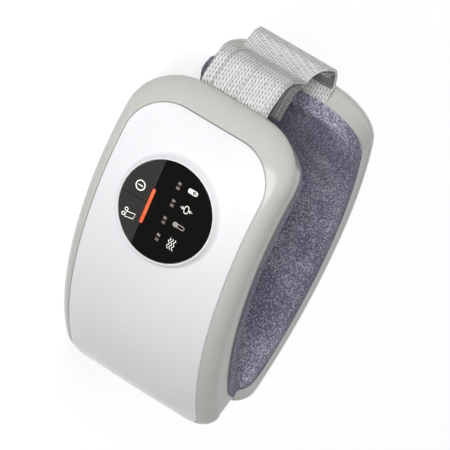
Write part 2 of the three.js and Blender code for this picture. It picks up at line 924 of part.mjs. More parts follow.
function hingeLeaf(height) {
  const leaf = box(hinge.leaf, hinge.leafDepth, height).translate(clearance + hinge.leaf / 2, 0, 0);
  return seatedAt(leaf, frame.end, 0, frame.rimDepth - hinge.leafFromRim);
}

function pinBore() {
  return uprightAtPivot(uprightRod(hinge.pinRadius + clearance, hinge.hoodHeight), 0);
}

function nearBracket() {
  const height = hinge.midKnuckle + (hinge.knuckleGap + hinge.sideKnuckle) * 2;
  const knuckles = [-1, 1].map((side) => knuckle(hinge.sideKnuckle, side * sideCentre));
  return cut(joined(hingeLeaf(height), knuckles), [pinBore()]);
}

function farBracket() {
  const height = hinge.midKnuckle + (hinge.knuckleGap + hinge.sideKnuckle) * 2;
  const whole = joined(hingeLeaf(height), [knuckle(hinge.midKnuckle, 0)]);
  return mirrored(cut(whole, [pinBore()]));
}

function hingePin() {
  const length = hinge.midKnuckle + (hinge.knuckleGap + hinge.sideKnuckle) * 2 + overrun;
  const stem = uprightAtPivot(uprightRod(hinge.pinRadius, length), 0);
  const head = uprightAtPivot(uprightRod(hinge.headRadius, hinge.headHeight), (length + hinge.headHeight) / 2 - clearance);
  return joined(stem, [head]);
}

// The pale hood that hides the knuckles on the outside.
function hingeHood() {
  const inner = hinge.knuckleRadius + clearance;
  const outer = inner + hinge.hoodWall;
  const [from, to] = hinge.hoodShares.map((share) => Math.PI * share);
  const shape = new THREE.Shape();
  shape.absarc(0, 0, outer, from, to, false);
  shape.absarc(0, 0, inner, to, from, true);
  shape.closePath();
  return uprightAtPivot(slab(shape, hinge.hoodHeight), 0);
}

// Materials

const finishes = {
  white: { color: 0xfbfaff, roughness: 0.22, metalness: 0 },
  grey: { color: 0xc2c6be, roughness: 0.28, metalness: 0 },
  pale: { color: 0xdcdedd, roughness: 0.5, metalness: 0 },
  inside: { color: 0x8a8c90, roughness: 0.6, metalness: 0 },
  film: { color: 0xb8772e, roughness: 0.5, metalness: 0.2 },
  bag: { color: 0xd8d8d4, roughness: 0.7, metalness: 0 },
  plush: { color: 0x82818f, roughness: 0.95, metalness: 0 },
  black: { color: 0x0c0c0a, roughness: 0.1, metalness: 0 },
  glow: { color: 0xe65a32, roughness: 0.35, metalness: 0 },
  boardGreen: { color: 0x1f5b3a, roughness: 0.6, metalness: 0 },
  foil: { color: 0x3c62a8, roughness: 0.5, metalness: 0.1 },
  steel: { color: 0xb4b6b8, roughness: 0.3, metalness: 1 },
  dark: { color: 0x2b2b2d, roughness: 0.55, metalness: 0 },
  webbing: { color: 0xc8c8c8, roughness: 0.9, metalness: 0 },
  grip: { color: 0x6e6f72, roughness: 0.95, metalness: 0 },
};

// Assembly

const group = new THREE.Group();

function place(name, geometry, finish) {
  const mesh = new THREE.Mesh(geometry, new THREE.MeshStandardMaterial(finishes[finish]));
  mesh.name = name;
  group.add(mesh);
}

function placePair(name, build, finish) {
  place(`near_${name}`, build(), finish);
  place(`far_${name}`, mirrored(build()), finish);
}

place('near_cover', panelCover(), 'white');
place('far_cover', mirrored(coverWithPosts()), 'white');
place('near_frame', cut(strapFrame(), [socketHole()]), 'grey');
place('far_frame', mirrored(strapFrame()), 'grey');
placePair('inner_shell', innerShellPlate, 'inside');
placePair('heating_film', () => plate(wellOutline(heatFilm.inset), filmDepth, heatFilm.thick), 'film');
placePair('air_bag', () => plate(wellOutline(airBag.inset), bagDepth, airBag.thick), 'bag');
placePair('plush_pad', plushPad, 'plush');
placePair('strap_bar', strapBarRod, 'steel');
placePair('motor', motorCan, 'steel');
placePair('motor_weight', motorWeight, 'steel');
post.places.forEach((spot, index) => {
  placePair(`shell_screw_${index + 1}`, () => shellScrew(spot), 'steel');
});
place('panel_lens', lens(), 'black');
place('light_bar', lightBar(), 'glow');
place('power_key', powerKey(), 'black');
place('mode_key', modeKey(), 'black');
place('display_board', displayBoardBody(), 'boardGreen');
place('main_board', mainBoard(), 'boardGreen');
place('battery_pack', batteryPack(), 'foil');
place('air_pump', airPump(), 'steel');
place('air_valve', valveBody(), 'dark');
place('valve_plunger', valvePlunger(), 'steel');
place('charging_socket', socketBody(), 'steel');
place('near_strap', strapOn(nearPath(nearTail.reach), strapLoop()), 'webbing');
place('far_strap', strapOn(farPath(-farTail.reach), mirrored(strapLoop())), 'webbing');
place('near_strap_lining', nearLining(), 'dark');
place('far_strap_lining', farLining(), 'dark');
place('hook_patch', hookPatch(), 'grip');
place('loop_patch', loopPatch(), 'grip');
place('near_hinge_bracket', nearBracket(), 'steel');
place('far_hinge_bracket', farBracket(), 'steel');
place('hinge_pin', hingePin(), 'steel');
place('hinge_hood', hingeHood(), 'pale');

// The origin is the bottom centre of the whole part.
const bounds = new THREE.Box3().setFromObject(group);
const middle = bounds.getCenter(new THREE.Vector3());
group.position.set(-middle.x, -middle.y, -bounds.min.z);

export default group;
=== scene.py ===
"""Visual model of a wrap-around joint massager: two curved half shells on a hinge,
plush pads inside, and an elastic hook-and-loop strap across the open end."""

from __future__ import annotations

import json
import logging
import math
from dataclasses import dataclass, field, replace
from enum import Enum
from typing import Callable, Optional, Sequence

import bmesh
import bpy
import numpy as np
from mathutils import Matrix, Vector

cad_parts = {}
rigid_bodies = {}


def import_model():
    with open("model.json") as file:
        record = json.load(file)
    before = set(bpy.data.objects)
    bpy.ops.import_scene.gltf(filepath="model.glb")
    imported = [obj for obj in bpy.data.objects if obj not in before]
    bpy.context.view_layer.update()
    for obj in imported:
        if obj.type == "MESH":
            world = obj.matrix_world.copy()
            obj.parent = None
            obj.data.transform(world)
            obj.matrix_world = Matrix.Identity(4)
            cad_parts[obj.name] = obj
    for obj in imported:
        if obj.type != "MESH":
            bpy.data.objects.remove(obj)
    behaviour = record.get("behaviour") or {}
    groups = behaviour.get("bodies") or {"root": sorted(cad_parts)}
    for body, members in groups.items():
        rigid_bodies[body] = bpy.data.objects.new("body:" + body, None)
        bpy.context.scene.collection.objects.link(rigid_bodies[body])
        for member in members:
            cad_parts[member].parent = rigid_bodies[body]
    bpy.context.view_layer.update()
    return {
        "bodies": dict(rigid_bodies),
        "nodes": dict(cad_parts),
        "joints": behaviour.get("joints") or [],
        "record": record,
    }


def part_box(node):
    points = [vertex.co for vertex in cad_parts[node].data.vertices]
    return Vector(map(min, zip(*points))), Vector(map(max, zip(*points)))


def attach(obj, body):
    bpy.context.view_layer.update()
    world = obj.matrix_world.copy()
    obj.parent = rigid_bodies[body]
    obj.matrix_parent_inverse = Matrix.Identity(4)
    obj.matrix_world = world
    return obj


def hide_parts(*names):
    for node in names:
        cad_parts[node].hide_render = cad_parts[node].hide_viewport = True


log = logging.getLogger("massager")

MM = 0.001
SAME_PLACE = 1e-6
SHARP = 32.0
CENTRE = 1e-7
WHITE = (1.0, 1.0, 1.0, 1.0)
Points = np.ndarray
Place = tuple[float, float]
Corners = tuple[tuple[float, float, float], ...]
DepthOf = Callable[[Points, Points], Points]


class Half(Enum):
    """Which half shell a piece belongs to; the far half mirrors the near one."""

    NEAR = 1.0
    FAR = -1.0

    @property
    def label(self) -> str:
        """The prefix of the half's node names."""
        return self.name.lower()

    @property
    def body(self) -> str:
        """The CAD body that the half's pieces ride on."""
        return f"{self.label}_half"


# Geometry helpers


def linear(red: int, green: int, blue: int) -> tuple[float, float, float, float]:
    """Turns a display colour into the linear colour that a shader reads.

    Args:
        red: Red from 0 to 255.
        green: Green from 0 to 255.
        blue: Blue from 0 to 255.

    Returns:
        The colour as red, green, blue and alpha.
    """

    def channel(value: int) -> float:
        """One channel's share of linear light."""
        share = value / 255
        return share / 12.92 if share <= 0.04045 else ((share + 0.055) / 1.055) ** 2.4

    return (channel(red), channel(green), channel(blue), 1.0)


def smooth_step(value: Points, low: float, high: float) -> Points:
    """Eases from 0 at low to 1 at high.

    Args:
        value: The values to ease.
        low: Where the result leaves 0.
        high: Where the result reaches 1.

    Returns:
        The eased shares.
    """
    share = np.clip((value - low) / (high - low), 0.0, 1.0)
    return share * share * (3 - 2 * share)


def dimmed(colour: Sequence[float], share: float) -> tuple[float, ...]:
    """A linear colour at a share of its brightness, with a full alpha."""
    return tuple(value * share for value in colour[:3]) + (1.0,)


def linked(name: str, data: bpy.types.ID) -> bpy.types.Object:
    """Makes an object and links it to the scene.

    Args:
        name: The object's name.
        data: Its mesh, camera or lamp.

    Returns:
        The object.
    """
    thing = bpy.data.objects.new(name, data)
    bpy.context.scene.collection.objects.link(thing)
    return thing


def axes_matrix(*axes: Vector) -> Matrix:
    """A matrix from its x, y and z axes and its place."""
    return Matrix([[axis[row] for axis in axes] for row in range(3)] + [[0, 0, 0, 1]])


def round_ring(radius: float, y: float, count: int) -> Points:
    """A ring of points round the y axis, in millimetres.

    Args:
        radius: The ring's radius.
        y: Its place along the axis.
        count: How many points it has.

    Returns:
        The points.
    """
    angles = np.linspace(0, 2 * math.pi, count + 1)[:-1]
    return np.column_stack([radius * np.cos(angles), np.full(count, y), radius * np.sin(angles)])


def arc(middle: tuple[float, float], radius: float, begin: float, sweep: float, steps: int) -> list[Place]:
    """Points along an arc.

    Args:
        middle: The arc's middle.
        radius: Its radius.
        begin: The angle where it begins.
        sweep: The angle that it spans.
        steps: How many steps it takes.

    Returns:
        The points, one more than the steps.
    """
    angles = [begin + step / steps * sweep for step in range(steps + 1)]
    return [(middle[0] + radius * math.cos(angle), middle[1] + radius * math.sin(angle)) for angle in angles]


def make_mesh(name: str, points: Points, faces: Sequence[Sequence[int]], sharp: float = SHARP,
              merged: bool = True) -> bpy.types.Object:
    """Makes a mesh object with outward faces and smooth shading.

    Args:
        name: The object's name.
        points: Vertex places in millimetres, one row each.
        faces: Vertex numbers of each face.
        sharp: Edges that turn by more than this many degrees stay sharp.
        merged: True if vertices at the same place are made one.

    Returns:
        The new object, linked to the scene.
    """
    mesh = bpy.data.meshes.new(name)
    mesh.from_pydata((np.asarray(points) * MM).tolist(), [], [list(face) for face in faces])
    work = bmesh.new()
    work.from_mesh(mesh)
    if merged:
        bmesh.ops.remove_doubles(work, verts=work.verts, dist=SAME_PLACE)
    bmesh.ops.recalc_face_normals(work, faces=work.faces)
    if work.calc_volume(signed=True) < 0:
        bmesh.ops.reverse_faces(work, faces=work.faces)
    work.to_mesh(mesh)
    work.free()
    thing = linked(name, mesh)
    shade(thing, sharp)
    return thing


def shade(thing: bpy.types.Object, sharp: float) -> None:
    """Shades a mesh smooth except across edges sharper than an angle.

    Args:
        thing: The mesh object.
        sharp: The angle in degrees.
    """
    thing.data.polygons.foreach_set("use_smooth", [True] * len(thing.data.polygons))
    thing.data.set_sharp_from_angle(angle=math.radians(sharp))
    thing.data.update()


def loft(name: str, rings: Sequence[Points], looped: bool = False, capped: bool = False,
         sharp: float = SHARP) -> bpy.types.Object:
    """Joins rings of equal count into one surface.

    Args:
        name: The object's name.
        rings: Rings of points in millimetres, each one closed.
        looped: True if the last ring joins the first.
        capped: True if the first and last rings are closed by a face.
        sharp: The shading angle in degrees.

    Returns:
        The new object.
    """
    count = len(rings[0])
    points = np.concatenate(rings)
    faces: list[list[int]] = []
    bands = len(rings) if looped else len(rings) - 1
    for band in range(bands):
        low, high = band * count, ((band + 1) % len(rings)) * count
        for i in range(count):
            after = (i + 1) % count
            faces.append([low + i, low + after, high + after, high + i])
    if capped:
        faces.append(list(range(count))[::-1])
        faces.append([(len(rings) - 1) * count + i for i in range(count)])
    return make_mesh(name, points, faces, sharp)


def baked(thing: bpy.types.Object) -> bpy.types.Object:
    """Applies an object's modifiers to its mesh.

    Args:
        thing: The object, whose modifiers go.

    Returns:
        The same object.
    """
    graph = bpy.context.evaluated_depsgraph_get()
    graph.update()
    mesh = bpy.data.meshes.new_from_object(thing.evaluated_get(graph))
    thing.modifiers.clear()
    thing.data = mesh
    return thing


def carved(thing: bpy.types.Object, tool: bpy.types.Object, mode: str = "DIFFERENCE") -> bpy.types.Object:
    """Cuts or joins one mesh with another and removes the tool.

    Args:
        thing: The mesh that is kept.
        tool: The mesh that acts on it.
        mode: The Boolean modifier's operation.

    Returns:
        The changed object.
    """
    action = thing.modifiers.new("carve", "BOOLEAN")
    action.operation = mode
    action.solver = "EXACT"
    action.object = tool
    baked(thing)
    bpy.data.objects.remove(tool)
    return thing


def rounded(thing: bpy.types.Object, width: float, segments: int = 2,
            angle: float = 40.0) -> bpy.types.Object:
    """Rounds the sharp edges of a mesh.

    Args:
        thing: The mesh object.
        width: The bevel's width in millimetres.
        segments: Steps across the bevel.
        angle: Edges that turn by more than this many degrees are rounded.

    Returns:
        The changed object.
    """
    bevel = thing.modifiers.new("round", "BEVEL")
    bevel.width = width * MM
    bevel.segments = segments
    bevel.limit_method = "ANGLE"
    bevel.angle_limit = math.radians(angle)
    baked(thing)
    shade(thing, SHARP)
    return thing


def prism(name: str, outline: Points, low: float, high: float) -> bpy.types.Object:
    """Extrudes a closed outline in (x, z) from low to high along y.

    Args:
        name: The object's name.
        outline: Points as (x, z) in millimetres.
        low: Where the prism starts along y.
        high: Where it ends.

    Returns:
        The prism.
    """
    rings = [np.column_stack([outline[:, 0], np.full(len(outline), y), outline[:, 1]]) for y in (low, high)]
    return loft(name, rings, capped=True)


def block(name: str, x: Place, y: Place, z: Place) -> bpy.types.Object:
    """A box between two values of x, of y and of z, in millimetres."""
    return prism(name, np.array([(x[0], z[0]), (x[1], z[0]), (x[1], z[1]), (x[0], z[1])]), *y)


# The plan curve that both halves are drawn on


@dataclass(frozen=True)
class Plan:
    """The plan curve in millimetres. A place is (s, u, d): along, up and inward."""

    strap_radius: float = 157.0
    hinge_radius: float = 200.8
    crown_offset: float = 82.8
    shift: tuple[float, float, float] = (0.0, 0.0, 0.0)

    def radius(self, s: Points) -> Points:
        """The curve's radius at s."""
        return np.where(np.asarray(s) < 0, self.strap_radius, self.hinge_radius)

    def turn(self, s: Points) -> Points:
        """The curve's turn at s, in radians."""
        return np.asarray(s) / self.radius(s)

    def place(self, s: Points, u: Points, d: Points, half: Half = Half.NEAR) -> Points:
        """Finds points of a half.

        Args:
            s: Distance along the curve from its apex.
            u: Height from mid height.
            d: Depth inward from the crown of the cover.
            half: Which half the points belong to.

        Returns:
            One row of x, y and z in millimetres for each point.
        """
        s, u, d = np.broadcast_arrays(*(np.asarray(value, float) for value in (s, u, d)))
        reach, turn = self.radius(s) - d, self.turn(s)
        x = reach * np.sin(turn)
        y = (self.radius(s) - self.crown_offset - reach * np.cos(turn)) * half.value
        return np.stack([x, y, u], axis=-1).reshape(-1, 3) + np.array(self.shift)

    def seat(self, s: float, u: float, d: float, half: Half = Half.NEAR) -> Matrix:
        """The frame at a place: x along the curve, y inward, z up.

        Args:
            s: Distance along the curve.
            u: Height from mid height.
            d: Depth inward.
            half: Which half the place belongs to.

        Returns:
            A matrix from the local frame in metres to the part's frame.
        """
        spot = Vector(self.place(s, u, d, half)[0] * MM)
        turn = float(self.turn(s))
        along = Vector((math.cos(turn), math.sin(turn) * half.value, 0))
        inward = Vector((-math.sin(turn), math.cos(turn) * half.value, 0))
        return axes_matrix(along, inward, Vector((0, 0, 1)), spot)


def settled(thing: bpy.types.Object, seat: Matrix) -> bpy.types.Object:
    """Moves an object's mesh into its seat, so that the object stays at the origin.

    Args:
        thing: A mesh object drawn about the seat's own origin.
        seat: The seat's matrix.

    Returns:
        The same object.
    """
    thing.data.transform(seat)
    if seat.determinant() < 0:
        thing.data.flip_normals()
    thing.data.update()
    return thing


@dataclass(frozen=True)
class Outline:
    """A rounded rectangle in (s, u), in millimetres."""

    start: float
    end: float
    half: float
    corner: float
    end_corner: float
    corner_steps: int = 16
    long_steps: int = 60
    short_steps: int = 20

    def inset(self, by: float, at_start: Optional[float] = None, at_end: Optional[float] = None) -> Outline:
        """The outline drawn in by a distance.

        Args:
            by: The inset of the long sides.
            at_start: The inset of the strap end, if it differs.
            at_end: The inset of the hinge end, if it differs.

        Returns:
            The inset outline.
        """
        return replace(
            self,
            start=self.start + (by if at_start is None else at_start),
            end=self.end - (by if at_end is None else at_end),
            half=self.half - by,
            corner=max(self.corner - by, 0.0),
            end_corner=max(self.end_corner - by, 0.0),
        )

    @property
    def middle(self) -> float:
        """The middle of the outline, along s."""
        return (self.start + self.end) / 2

    @property
    def reach(self) -> float:
        """Half the outline's length."""
        return (self.end - self.start) / 2

    def mixed(self, other: Outline, share: float) -> Outline:
        """The outline that lies a share of the way to another one."""
        ours, theirs = ((one.start, one.end, one.half, one.corner, one.end_corner) for one in (self, other))
        return Outline(*(own + (wanted - own) * share for own, wanted in zip(ours, theirs)))

    def shares(self, s: Points, u: Points) -> tuple[Points, Points]:
        """How far out places lie along and across, from 0 in the middle to 1 at the edge."""
        along = np.minimum(np.abs(s - self.middle) / self.reach, 1.0)
        return along, np.minimum(np.abs(u) / self.half, 1.0)

    def points(self) -> Points:
        """The outline's points, going round once.

        Returns:
            Rows of (s, u).
        """
        c, e = self.corner, self.end_corner
        corners = [
            (self.end - e, e - self.half, -math.pi / 2, e),
            (self.end - e, self.half - e, 0.0, e),
            (self.start + c, self.half - c, math.pi / 2, c),
            (self.start + c, c - self.half, math.pi, c),
        ]
        rows: list[Place] = []
        for index, (s, u, begin, r) in enumerate(corners):
            rows += arc((s, u), r, begin, math.pi / 2, self.corner_steps)
            last = rows[-1]
            s2, u2, angle2, r2 = corners[(index + 1) % 4]
            target = (s2 + r2 * math.cos(angle2), u2 + r2 * math.sin(angle2))
            count = self.short_steps if index % 2 == 0 else self.long_steps
            for step in range(1, count):
                share = step / count
                rows.append(tuple(old + (new - old) * share for old, new in zip(last, target)))
        return np.array(rows)

    def half_height(self, s: Points) -> Points:
        """The outline's half height.

        Args:
            s: Places along the outline.

        Returns:
            The half height at each place.
        """
        s = np.asarray(s, float)
        near_start = s < self.middle
        corner = np.where(near_start, self.corner, self.end_corner)
        into = np.where(near_start, s - self.start, self.end - s)
        lack = np.clip(corner - into, 0, corner)
        return self.half - corner + np.sqrt(np.maximum(corner**2 - lack**2, 0))


# Node groups shared by the finishes


class Nodes:
    """A small builder for one node tree."""

    def __init__(self, tree: bpy.types.NodeTree) -> None:
        """Starts on a tree."""
        self.tree = tree
        self.count = 0

    def add(self, kind: str, **settings: object) -> bpy.types.Node:
        """Adds a node.

        Args:
            kind: The node's type.
            settings: Its properties, and its inputs as in_NUMBER or in_Name.

        Returns:
            The node.
        """
        node = self.tree.nodes.new(kind)
        node.location = (self.count % 8 * 200, -(self.count // 8) * 200)
        self.count += 1
        for key, value in settings.items():
            if not key.startswith("in_"):
                setattr(node, key, value)
        self.set(node, **{key[3:]: value for key, value in settings.items() if key.startswith("in_")})
        return node

    def feed(self, socket: bpy.types.NodeSocket, value: object) -> None:
        """Links an output to a socket, or sets the socket's own value.

        Args:
            socket: The input.
            value: An output, or a plain value.
        """
        if isinstance(value, bpy.types.NodeSocket):
            self.tree.links.new(value, socket)
        else:
            socket.default_value = value

    def set(self, node: bpy.types.Node, **values: object) -> None:
        """Feeds inputs of a node by their numbers, or by their names with _ for a space."""
        for key, value in values.items():
            self.feed(node.inputs[int(key) if key.isdigit() else key.replace("_", " ")], value)

    def math(self, operation: str, *values: object) -> bpy.types.NodeSocket:
        """Adds a Math node with its inputs in order, and gives its output."""
        inputs = {f"in_{index}": value for index, value in enumerate(values)}
        return self.add("ShaderNodeMath", operation=operation, **inputs).outputs[0]

    def ramp(self, value: bpy.types.NodeSocket, low: float, high: float,
             to_low: float = 0.0, to_high: float = 1.0) -> bpy.types.NodeSocket:
        """Eases a value from the range low to high into the range to_low to to_high."""
        return self.add("ShaderNodeMapRange", interpolation_type="SMOOTHSTEP", in_0=value, in_1=low,
                        in_2=high, in_3=to_low, in_4=to_high).outputs[0]

    def mix(self, share: object, first: object, second: object) -> bpy.types.NodeSocket:
        """Mixes a share of the second colour into the first."""
        return self.add("ShaderNodeMix", data_type="RGBA", in_0=share, in_6=first, in_7=second).outputs[2]

    def noise(self, vector: object, scale: object, detail: float = 2.0,
              rough: float = 0.5) -> bpy.types.NodeSocket:
        """Adds a noise texture and gives its value."""
        return self.add("ShaderNodeTexNoise", in_Vector=vector, in_Scale=scale, in_Detail=detail,
                        in_Roughness=rough).outputs["Fac"]


def fresh_nodes(owner: bpy.types.ID) -> Nodes:
    """Starts a builder on the emptied node tree of a material or world.

    Args:
        owner: The material or world.

    Returns:
        The builder.
    """
    owner.use_nodes = True
    owner.node_tree.nodes.clear()
    return Nodes(owner.node_tree)


def group_named(name: str, inputs: dict[str, float], outputs: Sequence[str],
                build: Callable[[Nodes, bpy.types.Node, bpy.types.Node], None]) -> bpy.types.NodeTree:
    """Makes a shader node group once.

    Args:
        name: The group's name.
        inputs: Its value inputs and their defaults; Vector is added first.
        outputs: Its value outputs.
        build: Fills the group between its input and output nodes.

    Returns:
        The group, which is made at the first call only.
    """
    if name in bpy.data.node_groups:
        return bpy.data.node_groups[name]
    tree = bpy.data.node_groups.new(name, "ShaderNodeTree")
    tree.interface.new_socket("Vector", in_out="INPUT", socket_type="NodeSocketVector")
    for key, value in inputs.items():
        socket = tree.interface.new_socket(key, in_out="INPUT", socket_type="NodeSocketFloat")
        socket.default_value = value
    for key in outputs:
        tree.interface.new_socket(key, in_out="OUTPUT", socket_type="NodeSocketFloat")
    nodes = Nodes(tree)
    build(nodes, nodes.add("NodeGroupInput"), nodes.add("NodeGroupOutput"))
    return tree


def moulded_grain() -> bpy.types.NodeTree:
    """The group for moulded plastic: fine grain, soft waviness and handling marks.

    Returns:
        The group.
    """

    def build(nodes: Nodes, given: bpy.types.Node, out: bpy.types.Node) -> None:
        """Fills the group between its input and output nodes.

        Args:
            nodes: The group's builder.
            given: Its input node.
            out: Its output node.
        """
        vector = given.outputs["Vector"]
        fine = nodes.noise(vector, given.outputs["Scale"], 3.0)
        marks = nodes.ramp(nodes.noise(vector, 240.0, 4.0, 0.7), 0.56, 0.72)
        nodes.set(out, Grain=fine, Wave=nodes.noise(vector, 45.0, 1.0), Marks=marks)

    return group_named("Moulded grain", {"Scale": 1500.0}, ("Grain", "Wave", "Marks"), build)


def webbing_weave() -> bpy.types.NodeTree:
    """The group for ribbed webbing: ribs along the strap with staggered stitches between them.

    Returns:
        The group.
    """

    def build(nodes: Nodes, given: bpy.types.Node, out: bpy.types.Node) -> None:
        """Fills the group between its input and output nodes.

        Args:
            nodes: The group's builder.
            given: Its input node.
            out: Its output node.
        """
        parts = nodes.add("ShaderNodeSeparateXYZ", in_Vector=given.outputs["Vector"])
        across = nodes.math("DIVIDE", parts.outputs["X"], given.outputs["Pitch"])
        along = nodes.math("DIVIDE", parts.outputs["Y"], given.outputs["Stitch"])
        column = nodes.math("ROUND", across)
        from_groove = nodes.math("SUBTRACT", across, column)
        slanted = nodes.math("ADD", along, nodes.math("MULTIPLY", across, given.outputs["Slant"]))
        row = nodes.math("FRACT", nodes.math("ADD", slanted, nodes.math("MULTIPLY", column, 0.5)))
        from_middle = nodes.math("SUBTRACT", row, 0.5)
        leaning = nodes.math("ADD", from_groove, nodes.math("MULTIPLY", from_middle, 0.42))
        groove = nodes.ramp(nodes.math("ABSOLUTE", leaning), 0.04, 0.17, 1.0, 0.0)
        inside = nodes.ramp(nodes.math("ABSOLUTE", from_middle), 0.2, 0.36, 1.0, 0.0)
        dash = nodes.math("MULTIPLY", groove, inside)
        rib = nodes.math("ABSOLUTE", nodes.math("SINE", nodes.math("MULTIPLY", across, math.pi)))
        yarn = nodes.math("SINE", nodes.math("MULTIPLY", slanted, math.pi * 8))
        fuzz = nodes.noise(given.outputs["Vector"], 2600.0, 2.0, 0.6)
        edge = nodes.math("SUBTRACT", given.outputs["Half width"], nodes.math("ABSOLUTE", parts.outputs["X"]))
        selvedge = nodes.ramp(edge, 0.0018, 0.0026, 1.0, 0.0)
        dash = nodes.math("MULTIPLY", dash, nodes.math("SUBTRACT", 1.0, selvedge))
        height = nodes.math("MULTIPLY", rib, 0.2)
        for texture, weight in ((yarn, 0.07), (fuzz, 0.25), (dash, -0.8)):
            height = nodes.math("MULTIPLY_ADD", texture, weight, height)
        nodes.set(out, Dash=dash, Rib=rib, Selvedge=selvedge, Height=height)

    values = {"Pitch": 0.0019, "Stitch": 0.003, "Slant": 0.3, "Half width": 0.03}
    return group_named("Webbing weave", values, ("Dash", "Rib", "Selvedge", "Height"), build)


def plush_pile() -> bpy.types.NodeTree:
    """The group for short plush: clumped pile, nap streaks and broad patches, which mask painted sheen and
    painted shade.

    Returns:
        The group.
    """

    def build(nodes: Nodes, given: bpy.types.Node, out: bpy.types.Node) -> None:
        """Fills the group between its input and output nodes.

        Args:
            nodes: The group's builder.
            given: Its input node.
            out: Its output node.
        """
        vector = given.outputs["Vector"]
        cells = nodes.add("ShaderNodeTexVoronoi", in_Vector=vector, in_Scale=given.outputs["Clump"],
                          in_Randomness=1.0)
        clump = nodes.ramp(cells.outputs["Distance"], 0.0, 0.75, 1.0, 0.0)
        fibre = nodes.noise(vector, 2400.0, 3.0, 0.7)
        height = nodes.math("ADD", nodes.math("MULTIPLY", clump, 0.6), nodes.math("MULTIPLY", fibre, 0.5))
        nodes.set(out, Fibre=fibre, Patch=nodes.noise(vector, 46.0, 2.0, 0.5),
                  Speck=nodes.noise(vector, 1100.0, 2.0, 0.6), Height=height)

    return group_named("Plush pile", {"Clump": 750.0}, ("Fibre", "Patch", "Speck", "Height"), build)


def placed_group(nodes: Nodes, tree: bpy.types.NodeTree, vector: object, **values: float) -> bpy.types.Node:
    """Places a node group in a material.

    Args:
        nodes: The material's builder.
        tree: The group.
        vector: The coordinates that it works on.
        values: Its inputs, with _ for a space.

    Returns:
        The group's node.
    """
    node = nodes.add("ShaderNodeGroup", node_tree=tree)
    nodes.set(node, Vector=vector, **values)
    return node


# Finishes


@dataclass(frozen=True)
class Finish:
    """What every finish has: a name, a colour and a roughness."""

    name: str
    colour: tuple[int, int, int]
    roughness: float = 0.5

    def material(self) -> bpy.types.Material:
        """Makes the finish's material at the first call.

        Returns:
            The material.
        """
        own_name = f"{self.name}_finish"
        if own_name in bpy.data.materials:
            return bpy.data.materials[own_name]
        made = bpy.data.materials.new(own_name)
        nodes = fresh_nodes(made)
        shader = nodes.add("ShaderNodeBsdfPrincipled", in_Roughness=self.roughness)
        nodes.add("ShaderNodeOutputMaterial", in_Surface=shader.outputs[0])
        made.diffuse_color = linear(*self.colour)
        self.dress(nodes, shader)
        return made

    def put_on(self, thing: bpy.types.Object) -> None:
        """Makes the finish the only material of an object."""
        thing.data.materials.clear()
        thing.data.materials.append(self.material())

    def dress(self, nodes: Nodes, shader: bpy.types.Node) -> None:
        """Adds the finish's own nodes; each kind of finish has its own."""
        raise NotImplementedError

    def coordinates(self, nodes: Nodes) -> bpy.types.NodeSocket:
        """The object's own coordinates, in metres."""
        return nodes.add("ShaderNodeTexCoord").outputs["Object"]

    def bump(self, nodes: Nodes, height: object, distance: float,
             strength: float = 1.0) -> bpy.types.NodeSocket:
        """The normal of a surface with a height; a height of 1 stands for the distance, in metres."""
        bump = nodes.add("ShaderNodeBump", in_Strength=strength, in_Distance=distance, in_Height=height)
        return bump.outputs[0]


@dataclass(frozen=True)
class Moulded(Finish):
    """Moulded plastic, from glossy to satin."""

    grain: float = 1500.0
    relief: float = 0.000012
    coat: float = 0.0
    coat_roughness: float = 0.06
    shift: float = 0.94
    specular: float = 0.5

    def dress(self, nodes: Nodes, shader: bpy.types.Node) -> None:
        """Adds grain, waviness and faint handling marks.

        Args:
            nodes: The material's builder.
            shader: Its shader.
        """
        grain = placed_group(nodes, moulded_grain(), self.coordinates(nodes), Scale=self.grain)
        base = linear(*self.colour)
        nodes.set(shader, Base_Color=nodes.mix(grain.outputs["Wave"], dimmed(base, self.shift), base),
                  Roughness=nodes.math("MULTIPLY_ADD", grain.outputs["Marks"], 0.06, self.roughness),
                  Specular_IOR_Level=self.specular, Coat_Weight=self.coat, Coat_Roughness=self.coat_roughness,
                  Normal=self.bump(nodes, grain.outputs["Grain"], self.relief))


@dataclass(frozen=True)
class Metal(Finish):
    """Turned or stamped metal with brushed streaks."""

    streak: tuple[float, float, float] = (300.0, 300.0, 4000.0)
    relief: float = 0.00001

    def dress(self, nodes: Nodes, shader: bpy.types.Node) -> None:
        """Adds brushed streaks to colour, roughness and normal.

        Args:
            nodes: The material's builder.
            shader: Its shader.
        """
        stretch = nodes.add("ShaderNodeMapping", in_Vector=self.coordinates(nodes), in_Scale=self.streak)
        streaks = nodes.noise(stretch.outputs[0], 1.0, 3.0)
        base = linear(*self.colour)
        nodes.set(shader, Base_Color=nodes.mix(streaks, dimmed(base, 0.8), base), Metallic=1.0,
                  Roughness=nodes.math("MULTIPLY_ADD", streaks, 0.15, self.roughness),
                  Normal=self.bump(nodes, streaks, self.relief))


